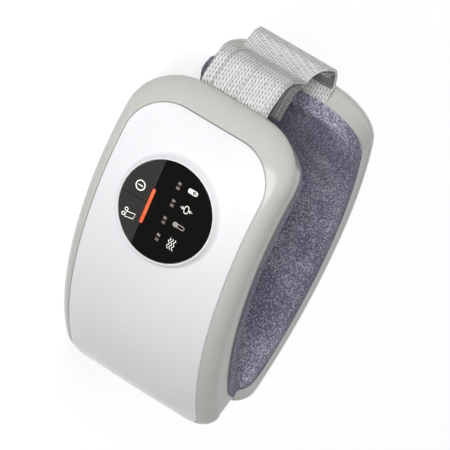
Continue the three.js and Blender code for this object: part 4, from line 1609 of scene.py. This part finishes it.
@dataclass
class Pad:
    """The plush pad of a half, swollen over its air bag and sewn down across its middle."""

    half: Half
    plan: Plan
    sizes: Sizes = field(default_factory=Sizes)
    back: float = 33.3
    edge: float = 4.6
    edge_share: float = 0.55
    least_edge: float = 0.5
    crown: float = 2.4
    overhang: float = -0.5
    near_start: float = 1.2
    hinge_end: float = 1.8
    tongue: float = 1.5
    tongue_corner: float = 37.0
    lap: float = 7.5
    lap_from: float = -99.0
    lap_to: float = 150.0
    lap_fade: float = 26.0
    seam_depth: float = 1.6
    seam_place: float = 34.0
    seam_reach: float = 9.0
    seam_hold: float = 2.2
    edge_round: float = 3.0
    along_steps: int = 92
    across_steps: int = 44
    end_easing: float = 0.11
    side_easing: float = 1.25
    cap: float = 1.0
    held_to: float = 1.2
    free_from: float = 7.0
    cloth_frames: int = 20
    bag_inset: float = 4.0
    bag_thick: float = 2.1
    bag_weld: float = 0.25

    def outline(self) -> Outline:
        """The pad's outline: it wraps the rim, and on the far half a tongue runs under the strap.

        Returns:
            The outline.
        """
        near = self.half is Half.NEAR
        outline = self.sizes.frame.inset(self.overhang, self.near_start if near else -self.tongue,
                                           self.hinge_end)
        return outline if near else replace(outline, corner=self.tongue_corner)

    def lap_at(self, s: Points, u: Points) -> Points:
        """How far the pad's edge comes down over the outside of the rim.

        Args:
            s: Places along the curve.
            u: Heights.

        Returns:
            The distances.
        """
        round_end = (self.half is Half.FAR) & (u > 0)
        low = self.lap_from - 1.5 * self.lap_fade * round_end
        rise = smooth_step(s, low, low + self.lap_fade)
        return self.lap * rise * (1 - smooth_step(s, self.lap_to - self.lap_fade, self.lap_to))

    def edge_at(self, s: Points) -> Points:
        """The pad's thickness at its edge, less where the two halves close up.

        Args:
            s: Places along the curve.

        Returns:
            The thicknesses.
        """
        radius = self.plan.radius(s)
        free = radius - (radius - self.plan.crown_offset) / np.cos(self.plan.turn(s)) - self.back
        return np.clip(free * self.edge_share, self.least_edge, self.edge)

    def front(self, s: Points, u: Points) -> Points:
        """The depth of the pad's front before it is inflated.

        Args:
            s: Places along the curve.
            u: Heights.

        Returns:
            The depths.
        """
        along, across = self.outline().shares(s, u)
        swell = (1 - across**2) * (1 - along**4)
        beside_seam = np.exp(-(((s - self.seam_place) / self.seam_reach) ** 2))
        channel = self.seam_depth * beside_seam * (1 - across**2)
        return self.back + self.edge_at(np.asarray(s, float)) + self.crown * swell - channel

    def inside(self, s: Points, u: Points) -> Points:
        """How far places lie inside the pad's outline.

        Args:
            s: Places along the curve.
            u: Heights.

        Returns:
            The distances.
        """
        outline = self.outline()
        corner = np.where(s < outline.middle, outline.corner, outline.end_corner)
        x = np.abs(s - outline.middle) - (outline.reach - corner)
        y = np.abs(u) - (outline.half - corner)
        outside = np.hypot(np.maximum(x, 0), np.maximum(y, 0)) + np.minimum(np.maximum(x, y), 0)
        return corner - outside

    def stations(self) -> Points:
        """The stations along the pad, closer together at its rounded ends.

        Returns:
            Their places along the curve.
        """
        outline = self.outline()
        share = np.linspace(0.0, 1.0, self.along_steps)
        eased = share - self.end_easing * np.sin(share * 2 * math.pi)
        return outline.start + (outline.end - outline.start) * eased

    def body(self, name: str) -> tuple[bpy.types.Object, Points]:
        """The pad before it is inflated.

        Args:
            name: The object's name.

        Returns:
            The pad and each vertex's (s, u, is on the front).
        """
        outline, r = self.outline(), self.edge_round
        share = np.linspace(-1.0, 1.0, self.across_steps)
        share = np.sign(share) * (1 - (1 - np.abs(share)) ** self.side_easing)
        rows: list[Points] = []
        marks: list[Points] = []
        for s in self.stations():
            high = float(outline.half_height(s))
            u = share * high
            s_row = np.full(len(u), s)
            into = np.clip(self.inside(s_row, u), 0.0, r)
            drop = r - np.sqrt(np.maximum(r**2 - (r - into) ** 2, 0.0))
            drop = drop * float(self.edge_at(np.array(s))) / self.edge
            front = self.front(s_row, u) - drop
            at_edge = np.full(len(u), float(s == outline.start))
            at_edge[[0, -1]] = 1.0
            back = self.back - self.lap_at(s_row, u) * at_edge
            for depth, on_front in ((front, 1.0), (back, 0.0)):
                rows.append(self.plan.place(s_row, u, depth, self.half))
                marks.append(np.column_stack([s_row, u, np.full(len(u), on_front)]))
        thing = make_mesh(name, np.concatenate(rows), self.body_faces(), merged=False)
        return thing, np.concatenate(marks)

    def body_faces(self) -> list[list[int]]:
        """The faces between the pad's stations, whose front row comes before their back row.

        Returns:
            Vertex numbers of each face.
        """
        last, ends = self.across_steps - 1, (0, self.along_steps - 1)

        def at(station: int, level: int, i: int) -> int:
            """The number of a station's vertex on its front or its back row."""
            return (station * 2 + level) * self.across_steps + i

        faces: list[list[int]] = []
        for station in range(self.along_steps - 1):
            after = station + 1
            for i in range(last):
                faces += [[at(station, level, i), at(station, level, i + 1), at(after, level, i + 1),
                           at(after, level, i)] for level in (0, 1)]
            faces += [[at(station, 0, i), at(after, 0, i), at(after, 1, i), at(station, 1, i)]
                      for i in (0, last)]
        for end in ends:
            faces += [[at(end, 0, i), at(end, 0, i + 1), at(end, 1, i + 1), at(end, 1, i)]
                      for i in range(last)]
        return faces

    def inflate(self, thing: bpy.types.Object, mark: Points) -> None:
        """Lets the pad's cloth swell under pressure, held at its edge and seam.

        Args:
            thing: The pad.
            mark: Each vertex's (s, u, is on the front).
        """
        s, u, front = mark.T
        free = front * smooth_step(self.inside(s, u), self.held_to, self.free_from)
        seam = np.exp(-(((s - self.seam_place) / self.seam_hold) ** 2))
        free = free * (1 - 0.9 * seam)
        group = thing.vertex_groups.new(name="held")
        for index, value in enumerate(1 - free):
            if value > 0.001:
                group.add([index], float(value), "REPLACE")
        start = np.array([vertex.co[:] for vertex in thing.data.vertices])
        cloth = thing.modifiers.new("cloth", "CLOTH")
        settings = cloth.settings
        settings.quality = 6
        settings.mass = 0.25
        settings.tension_stiffness = settings.compression_stiffness = 12
        settings.bending_stiffness = 0.6
        settings.vertex_group_mass = "held"
        settings.pin_stiffness = 3.0
        settings.shrink_min = -0.035
        settings.use_pressure = True
        settings.uniform_pressure_force = 3.5
        settings.effector_weights.gravity = 0.0
        cloth.collision_settings.use_self_collision = False
        for frame in range(1, self.cloth_frames + 1):
            bpy.context.scene.frame_set(frame)
        graph = bpy.context.evaluated_depsgraph_get()
        swollen = np.array([vertex.co[:] for vertex in thing.evaluated_get(graph).data.vertices])
        bpy.context.scene.frame_set(1)
        thing.modifiers.clear()
        move = swollen - start
        length = np.linalg.norm(move, axis=1, keepdims=True)
        move *= np.minimum(1.0, self.cap * MM / np.maximum(length, 1e-9))
        move *= free[:, None] > 0
        thing.data.vertices.foreach_set("co", (start + move).ravel())
        thing.data.update()

    def build(self) -> None:
        """Builds and dresses the pad and its air bag."""
        label = self.half.label
        thing, mark = self.body(f"{label}_plush_cushion")
        self.inflate(thing, mark)
        smoother = thing.modifiers.new("smooth", "SUBSURF")
        smoother.levels = smoother.render_levels = 1
        baked(thing)
        shade(thing, 60.0)
        dressed(thing, Finishes.plush, self.half.body, "plush", f"{label}_plush_pad")
        self.air_bag()

    def air_bag(self) -> None:
        """The air bag behind the pad: a soft-edged bladder with a welded rim."""
        outline, z = self.sizes.well(self.bag_inset), self.sizes
        low = z.inner_back + z.inner_wall + z.clearance + z.film + z.clearance
        middle, shell = low + self.bag_thick / 2, HalfShell(self.half, self.plan, self.sizes)
        weld = self.bag_thick / 2 - self.bag_weld
        under = ((outline.half, 0.0), (24.0, 0.0), (6.0, 0.0), (3.2, 0.3), (2.2, weld), (0.0, weld))
        rings = [shell.ring(outline.inset(by), low + rise) for by, rise in under]
        rings += [shell.ring(outline.inset(by), 2 * middle - low - rise) for by, rise in under[::-1]]
        thing = loft(f"{self.half.label}_air_bladder", rings)
        dressed(thing, Finishes.bag, self.half.body, "air_bag", f"{self.half.label}_air_bag")


# Strap


@dataclass
class Strap:
    """The two straps, their linings and their hook and loop patches."""

    plan: Plan
    sizes: Sizes = field(default_factory=Sizes)
    near_width: float = 47.0
    near_low: float = 3.0
    far_width: float = 56.0
    far_taper: float = 9.0
    patch_length: float = 12.0
    patch_thick: float = 0.8
    hook_margin: float = 3.0
    loop_margin: float = 6.0
    return_thick: float = 1.28
    lining_thick: float = 0.8
    fold_gaps: Place = (0.5, 2.3)
    lining_width: float = 55.0
    lining_start: float = 10.0
    lining_end: float = 13.0
    rib_pitch: float = 1.9
    rib_depth: float = 0.07
    selvedge: float = 2.2
    end_share: float = 0.55
    taper_shares: Place = (0.45, 0.72)
    step: float = 0.75
    slot_run: float = 4.5
    slot_round: float = 3.0
    near_corners: Corners = ((-12.0, -37.4, 8.0), (-27.6, -22.6, 9.0), (-28.2, -12.4, 7.0), (-22.2, 6.6, 0.0))
    return_corners: Corners = ((-24.4, -5.0, 0.0), (-24.8, -12.0, 4.0), (-16.0, -17.5, 8.0),
                               (-6.6, -21.6, 0.0))
    far_corners: Corners = ((-15.2, 35.2, 6.0), (-28.4, 29.6, 3.6), (-28.2, 21.0, 3.0), (-19.6, 11.2, 4.0),
                            (-19.8, -9.0, 0.0))
    patch_start: float = 7.5

    @property
    def bar_place(self) -> float:
        """The strap bar's place along the curve."""
        return self.sizes.frame.start + self.sizes.bar_inset

    def flat(self, point: Sequence[float]) -> Points:
        """A plan point without the shift."""
        return np.array([point[0], point[1]]) - np.array(self.plan.shift[:2])

    def anchor(self, depth: float) -> Points:
        """The plan point of the strap bar at a depth."""
        return self.flat(self.plan.place(self.bar_place, 0.0, depth)[0])

    def exit(self, beyond: float) -> Points:
        """The plan point a distance out of the frame's end."""
        turn = float(self.plan.turn(self.bar_place))
        return self.anchor(self.sizes.strap_depth) - beyond * np.array([math.cos(turn), math.sin(turn)])

    def out_of_slot(self, half: Half) -> list[tuple[Points, float]]:
        """The first corners of a strap's path: at its bar and just out of its slot."""
        bar, side = self.anchor(self.sizes.strap_depth), np.array([1.0, half.value])
        return [(bar * side, 0.0), (self.exit(self.slot_run) * side, self.slot_round)]

    def rounded_path(self, rows: Corners, first: Sequence[tuple[Points, float]] = ()) -> list[Points]:
        """A plan path through corner points, each one rounded.

        Args:
            rows: Corners as x, y and radius, from the middle between the two frames' strap ends.
            first: Corners before them, as pairs of a plan point and its radius.

        Returns:
            The path's points.
        """
        corners = [*first, *((self.at(x, y), radius) for x, y, radius in rows)]
        path = [corners[0][0]]
        for i in range(1, len(corners) - 1):
            at, radius = corners[i]
            back, on = (corners[other][0] - at for other in (i - 1, i + 1))
            back, on = back / np.linalg.norm(back), on / np.linalg.norm(on)
            angle = math.acos(float(np.clip(back @ on, -1, 1)))
            reach = radius / math.tan(angle / 2)
            first, last = at + back * reach, at + on * reach
            for step in range(17):
                t = step / 16
                path.append(first * (1 - t) ** 2 + at * 2 * t * (1 - t) + last * t**2)
        return path + [corners[-1][0]]

    def at(self, x: float, y: float) -> Points:
        """A plan point given from the middle between the two frames' strap ends."""
        return np.array([self.anchor(self.sizes.strap_depth)[0] + x, y])

    def near_path(self) -> list[Points]:
        """The near strap's path, out of its slot, over the crest and down to its free end."""
        return self.rounded_path(self.near_corners, self.out_of_slot(Half.NEAR))

    def return_path(self) -> list[Points]:
        """The inner layer of the near strap's loop, from under the crest back to the slot."""
        return self.rounded_path(self.return_corners)

    def far_path(self) -> list[Points]:
        """The far strap's path, out of its slot, over the ridge and down under the near strap."""
        return self.rounded_path(self.far_corners, self.out_of_slot(Half.FAR))

    def wrapped(self, path: list[Points], half: Half) -> list[Points]:
        """Puts the turn round the strap bar before a path.

        Args:
            path: The path.
            half: The half whose bar it is.

        Returns:
            The longer path.
        """
        z, turn = self.sizes, float(self.plan.turn(self.bar_place))
        radius = z.bar_radius + z.clearance + z.strap_thick / 2
        along = np.array([math.cos(turn), math.sin(turn)])
        inward = np.array([-math.sin(turn), math.cos(turn)])
        centre, side = self.anchor(z.bar_depth), np.array([1.0, half.value])
        circle = arc((0.0, 0.0), radius, math.radians(-190), math.radians(270), 27)
        return [(centre + x * along + y * inward) * side for x, y in circle] + path

    def sampled(self, path: list[Points]) -> tuple[Points, Points, Points]:
        """Even samples of a path.

        Args:
            path: The path's points.

        Returns:
            The samples, the direction across the path and the distance along it.
        """
        rows = np.array(path)
        keep = np.concatenate([[True], np.linalg.norm(np.diff(rows, axis=0), axis=1) > SAME_PLACE])
        rows = rows[keep]
        run = np.concatenate([[0.0], np.cumsum(np.linalg.norm(np.diff(rows, axis=0), axis=1))])
        count = max(int(run[-1] / self.step), 8)
        at = np.linspace(0.0, run[-1], count)
        samples = np.column_stack([np.interp(at, run, rows[:, i]) for i in (0, 1)])
        along = np.gradient(samples, axis=0)
        along /= np.linalg.norm(along, axis=1, keepdims=True)
        return samples, np.column_stack([-along[:, 1], along[:, 0]]), at

    def ribbon(self, name: str, path: list[Points], thick: float, width: float, ribs: float = 0.0,
               taper: float = 0.0, low: float = 0.0) -> bpy.types.Object:
        """A flat band that follows a path in plan and stands upright.

        Args:
            name: The object's name.
            path: The path's points in plan.
            thick: The band's thickness.
            width: Its width, along z.
            ribs: The depth of its ribs.
            taper: How much narrower it is at its end, on the upper side.
            low: How far below the middle its centre line runs.

        Returns:
            The band, with its cloth coordinates in metres.
        """
        samples, side, run = self.sampled(path)
        shift, half = np.array(self.plan.shift), width / 2
        columns = max(int(width / self.rib_pitch) * 4, 24) if ribs else 24
        heights = np.linspace(-half, half, columns + 1)
        ribbed = np.abs(heights) < half - self.selvedge
        groove = ribs * (1 - np.abs(np.sin(heights / self.rib_pitch * math.pi))) * ribbed
        edge = np.clip((half - np.abs(heights)) / (thick * 0.5), 0.0, 1.0)
        outer = (thick / 2) * np.sqrt(np.maximum(1 - (1 - edge) ** 2, 0.16)) - groove
        ring_z = np.concatenate([heights, heights[::-1]])
        ring_t = np.concatenate([outer, -outer[::-1]])
        rings = []
        ends = np.ones(len(samples))
        ends[[0, -1]] = self.end_share
        narrow = taper * smooth_step(run, *(run[-1] * share for share in self.taper_shares))
        for sample, across, end, less in zip(samples, side, ends, narrow):
            level = ring_z - low + shift[2] - less * (ring_z + half) / width
            rings.append(np.column_stack([sample + shift[:2] + np.outer(ring_t * end, across), level]))
        thing = loft(name, rings, capped=True, sharp=50.0)
        layer = thing.data.uv_layers.new(name="Cloth")
        cloth = np.column_stack([np.tile(ring_z, len(samples)), np.repeat(run, len(ring_z))]) * MM
        keys = {tuple(np.round(point, 4)): index for index, point in enumerate(np.concatenate(rings))}
        places = [keys.get(tuple(np.round(np.array(vertex.co) / MM, 4)), 0) for vertex in thing.data.vertices]
        uvs = cloth[np.array(places)[[loop.vertex_index for loop in thing.data.loops]]]
        layer.data.foreach_set("uv", uvs.ravel())
        return thing

    def doubled(self, path: list[Points], first: float, second: float) -> list[Points]:
        """A path that runs out at one distance to the left of another path and back at a second.

        Args:
            path: The path that is followed.
            first: The distance on the way out.
            second: The distance on the way back.

        Returns:
            The folded path.
        """
        samples, side, _ = self.sampled(path)
        out, back = samples + side * first, samples + side * second
        keep = slice(2, -2)
        turn = (out[-3] + back[-3]) / 2 + (out[-3] - out[-5]) * 0.4
        return [*out[keep], turn, *back[keep][::-1]]

    def beyond(self, path: list[Points], distance: float) -> list[Points]:
        """The part of a path further than a distance from its start."""
        return [point for point in path if np.linalg.norm(point - path[0]) > distance]

    def build(self) -> None:
        """Builds and dresses the straps, linings and patches."""
        z = self.sizes
        lift = z.strap_thick / 2 + z.clearance + self.lining_thick / 2
        near = self.ribbon("near_elastic_strap", self.wrapped(self.near_path(), Half.NEAR),
                           z.strap_thick, self.near_width, self.rib_depth, low=self.near_low)
        dressed(near, Finishes.webbing, "near_half", "webbing", "near_strap")
        far = self.ribbon("far_elastic_strap", self.wrapped(self.far_path(), Half.FAR),
                          z.strap_thick, self.far_width, self.rib_depth, taper=self.far_taper)
        dressed(far, Finishes.webbing, "far_half", "webbing", "far_strap")
        near_lining = self.ribbon("near_loop_lining", self.return_path(), self.return_thick,
                                  self.near_width, self.rib_depth)
        dressed(near_lining, Finishes.webbing_inside, "near_half", "strap_lining", "near_strap_lining")
        beyond = self.beyond(self.far_path(), self.lining_start)
        inner = [point for point in beyond if point[1] > self.lining_end]
        folded = self.doubled(inner, *(lift + gap for gap in self.fold_gaps))
        far_lining = self.ribbon("far_loop_lining", folded, self.lining_thick, self.lining_width)
        dressed(far_lining, Finishes.webbing_inside, "far_half", "strap_lining", "far_strap_lining")
        tail = self.near_path()[-1], self.near_path()[-2]
        along = (tail[1] - tail[0]) / np.linalg.norm(tail[1] - tail[0])
        inward = np.array([-along[1], along[0]]) * (1 if along[1] < 0 else -1)
        lift = z.strap_thick / 2 + z.clearance + self.patch_thick / 2
        start = tail[0] + along * 0.6 + inward * lift
        steps = np.linspace(0.0, self.patch_length, 9)
        hook = self.ribbon("hook_tape", [start + along * step for step in steps], self.patch_thick,
                           self.near_width - self.hook_margin, low=self.near_low)
        dressed(hook, Finishes.grip, "near_half", "grip_tape", "hook_patch")
        under = [self.at(self.far_corners[-1][0] - lift, self.patch_start - step) for step in steps]
        loop_tape = self.ribbon("loop_tape", under, self.patch_thick, self.near_width - self.loop_margin,
                                low=self.near_low)
        dressed(loop_tape, Finishes.grip, "far_half", "grip_tape", "loop_patch")


# Hinge


@dataclass
class Hinge:
    """The pale hood over the knuckles at the closed end."""

    plan: Plan
    sizes: Sizes = field(default_factory=Sizes)
    knuckle: float = 3.2
    wall: float = 1.0
    height: float = 64.0
    angles: Place = (-0.5, 0.38)
    end_turn: float = 0.04

    def build(self) -> None:
        """Builds and dresses the hood."""
        inner = self.knuckle + self.sizes.clearance
        outer = inner + self.wall
        middle, half = (inner + outer) / 2, self.wall / 2
        pivot = self.sizes.pivot(self.plan) + np.array(self.plan.shift[:2])
        first, last = (share * math.pi for share in self.angles)
        first, last = first + self.end_turn, last - self.end_turn
        ends = np.linspace(0, math.pi, 7)[1:-1]
        rows = [(outer, angle) for angle in np.linspace(first, last, 33)]
        rows += [(middle + half * math.cos(a), last + half * math.sin(a) / middle) for a in ends]
        rows += [(inner, angle) for angle in np.linspace(last, first, 33)]
        rows += [(middle - half * math.cos(a), first - half * math.sin(a) / middle) for a in ends]
        outline = np.array([(pivot[0] + r * math.cos(a), pivot[1] + r * math.sin(a)) for r, a in rows])
        levels = (self.plan.shift[2] - self.height / 2, self.plan.shift[2] + self.height / 2)
        rings = [np.column_stack([outline, np.full(len(outline), z)]) for z in levels]
        hood = rounded(loft("hinge_hood_shell", rings, capped=True), 0.3, 3)
        dressed(hood, Finishes.pale, "near_half", "pale_plastic", "hinge_hood")


# Pieces carried over from the CAD


@dataclass
class InnerPieces:
    """Gives every CAD node that stays its own finish."""

    nodes: dict[str, bpy.types.Object]

    def finish_of(self, name: str) -> Finish:
        """The finish of a node, by what its name says that it is.

        Args:
            name: The node's name.

        Returns:
            The finish.
        """
        for words, finish in (
            (("motor_weight",), Finishes.steel),
            (("inner_shell",), Finishes.inside),
            (("heating_film",), Finishes.film),
            (("board",), Finishes.board),
            (("battery",), Finishes.wrap),
            (("pump", "_motor"), Finishes.brass),
            (("valve_plunger", "bar", "screw", "bracket", "pin", "weight", "socket"), Finishes.steel),
            (("valve",), Finishes.dark),
        ):
            if any(word in name for word in words):
                return finish
        return Finishes.inside

    def build(self) -> None:
        """Dresses the nodes that still show."""
        for name, thing in sorted(self.nodes.items()):
            if thing.hide_render:
                continue
            self.finish_of(name).put_on(thing)
            log.info("%s keeps its CAD shape", name)


# Camera, light and floor


@dataclass
class Studio:
    """The camera at the photograph's angle, a pale floor and soft light."""

    aim: tuple[float, float, float] = (-42.11, -66.36, 89.52)
    distance: float = 1.6674
    field_width: float = 260.19
    right: tuple[float, float, float] = (-0.3145, 0.4884, 0.8139)
    back: tuple[float, float, float] = (-0.4838, -0.8202, 0.3053)
    sensor: float = 36.0
    light_from: tuple[float, float, float] = (-0.75, -0.62, -0.28)
    light_ramp: tuple[float, float, float, float] = (-0.42, 0.9, 0.03, 0.86)
    floor_size: float = 6.0
    floor_drop: float = 0.0005
    floor_grey: tuple[float, float, float, float] = (0.84, 0.84, 0.85, 1.0)
    floor_pale: tuple[float, float, float, float] = (0.88, 0.88, 0.88, 1.0)
    floor_glow: float = 0.75
    lamp_aim: tuple[float, float, float] = (0.0, 0.0, 0.06)
    lamp_distance: float = 1.4

    def camera(self) -> None:
        """Makes the camera."""
        data = bpy.data.cameras.new("camera")
        data.sensor_width = self.sensor
        data.lens = self.sensor * self.distance / (self.field_width * MM)
        data.clip_start, data.clip_end = 0.1, 20.0
        thing = linked("camera", data)
        back = Vector(self.back).normalized()
        right = (Vector(self.right) - back * Vector(self.right).dot(back)).normalized()
        place = Vector(self.aim) * MM + back * self.distance
        thing.matrix_world = axes_matrix(right, back.cross(right), back, place)
        bpy.context.scene.camera = thing

    def world(self) -> None:
        """Lights the object softly, stronger from the front left, on a white background."""
        world = bpy.data.worlds.new("studio")
        bpy.context.scene.world = world
        nodes = fresh_nodes(world)
        toward = nodes.add("ShaderNodeVectorMath", operation="DOT_PRODUCT",
                           in_0=nodes.add("ShaderNodeTexCoord").outputs["Generated"],
                           in_1=Vector(self.light_from).normalized())
        light = nodes.ramp(toward.outputs["Value"], *self.light_ramp)
        soft = nodes.add("ShaderNodeBackground", in_Color=WHITE, in_Strength=light)
        plain = nodes.add("ShaderNodeBackground", in_Color=WHITE, in_Strength=1.0)
        mix = nodes.add("ShaderNodeMixShader", in_0=self.seen_directly(nodes), in_1=soft.outputs[0],
                        in_2=plain.outputs[0])
        nodes.add("ShaderNodeOutputWorld", in_Surface=mix.outputs[0])

    def seen_directly(self, nodes: Nodes) -> bpy.types.NodeSocket:
        """1 for camera, glossy and transmission rays, else 0.

        Args:
            nodes: The builder of the tree that asks.

        Returns:
            The value's output.
        """
        path = nodes.add("ShaderNodeLightPath")
        first = nodes.math("MAXIMUM", path.outputs["Is Camera Ray"], path.outputs["Is Glossy Ray"])
        return nodes.math("MAXIMUM", first, path.outputs["Is Transmission Ray"])

    def floor(self) -> None:
        """Makes a pale floor that keeps the object's shadow."""
        mesh, size = bpy.data.meshes.new("floor"), self.floor_size
        corners = [(-size, -size, 0), (size, -size, 0), (size, size, 0), (-size, size, 0)]
        mesh.from_pydata(corners, [], [[0, 1, 2, 3]])
        thing = linked("floor", mesh)
        thing.location.z = -self.floor_drop
        material = bpy.data.materials.new("floor_paper")
        nodes = fresh_nodes(material)
        grain = nodes.noise(nodes.add("ShaderNodeTexCoord").outputs["Object"], 900.0, 2.0)
        paper = nodes.add("ShaderNodeBsdfPrincipled", in_Roughness=0.9, in_Specular_IOR_Level=0.1,
                          in_Base_Color=nodes.mix(grain, self.floor_grey, self.floor_pale))
        glow = nodes.add("ShaderNodeEmission",
                         in_Strength=nodes.math("MULTIPLY", self.seen_directly(nodes), self.floor_glow))
        both = nodes.add("ShaderNodeAddShader", in_0=paper.outputs[0], in_1=glow.outputs[0])
        nodes.add("ShaderNodeOutputMaterial", in_Surface=both.outputs[0])
        mesh.materials.append(material)

    def lamp(self, name: str, toward: tuple[float, float, float], size: float, power: float) -> None:
        """Adds a soft area lamp.

        Args:
            name: The lamp's name.
            toward: The direction from the object to the lamp.
            size: Its side in metres.
            power: Its power in watts.
        """
        data = bpy.data.lights.new(name, "AREA")
        data.shape = "SQUARE"
        data.size, data.energy = size, power
        thing = linked(name, data)
        direction = Vector(toward).normalized()
        thing.location = Vector(self.lamp_aim) + direction * self.lamp_distance
        thing.rotation_mode = "QUATERNION"
        thing.rotation_quaternion = direction.to_track_quat("Z", "Y")

    def build(self) -> None:
        """Builds the camera, the light and the floor."""
        self.camera()
        self.world()
        self.floor()
        self.lamp("key_light", (-0.5, -0.86, 0.12), 0.9, 11.0)
        self.lamp("fill_light", (-0.1, -0.95, 0.3), 1.4, 1.8)
        bpy.context.scene.view_settings.view_transform = "Standard"


def main() -> None:
    """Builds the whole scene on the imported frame."""
    logging.basicConfig(level=logging.INFO, format="%(name)s: %(message)s")
    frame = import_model()
    sizes = Sizes()
    plan = sizes.plan()
    low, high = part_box("hinge_pin")
    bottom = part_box("near_frame")[0]
    pin = [(low[i] + high[i]) / 2 / MM for i in (0, 1)]
    pivot = sizes.pivot(plan)
    shift = (pin[0] - float(pivot[0]), pin[1] - float(pivot[1]), bottom[2] / MM + sizes.frame.half)
    plan = replace(plan, shift=shift)
    log.info("shift %s", shift)
    Studio().build()
    for half in Half:
        HalfShell(half, plan, sizes).build()
        Pad(half, plan, sizes).build()
    Panel(plan, sizes).build()
    Strap(plan, sizes).build()
    Hinge(plan, sizes).build()
    InnerPieces(frame["nodes"]).build()


if __name__ == "__main__":
    main()
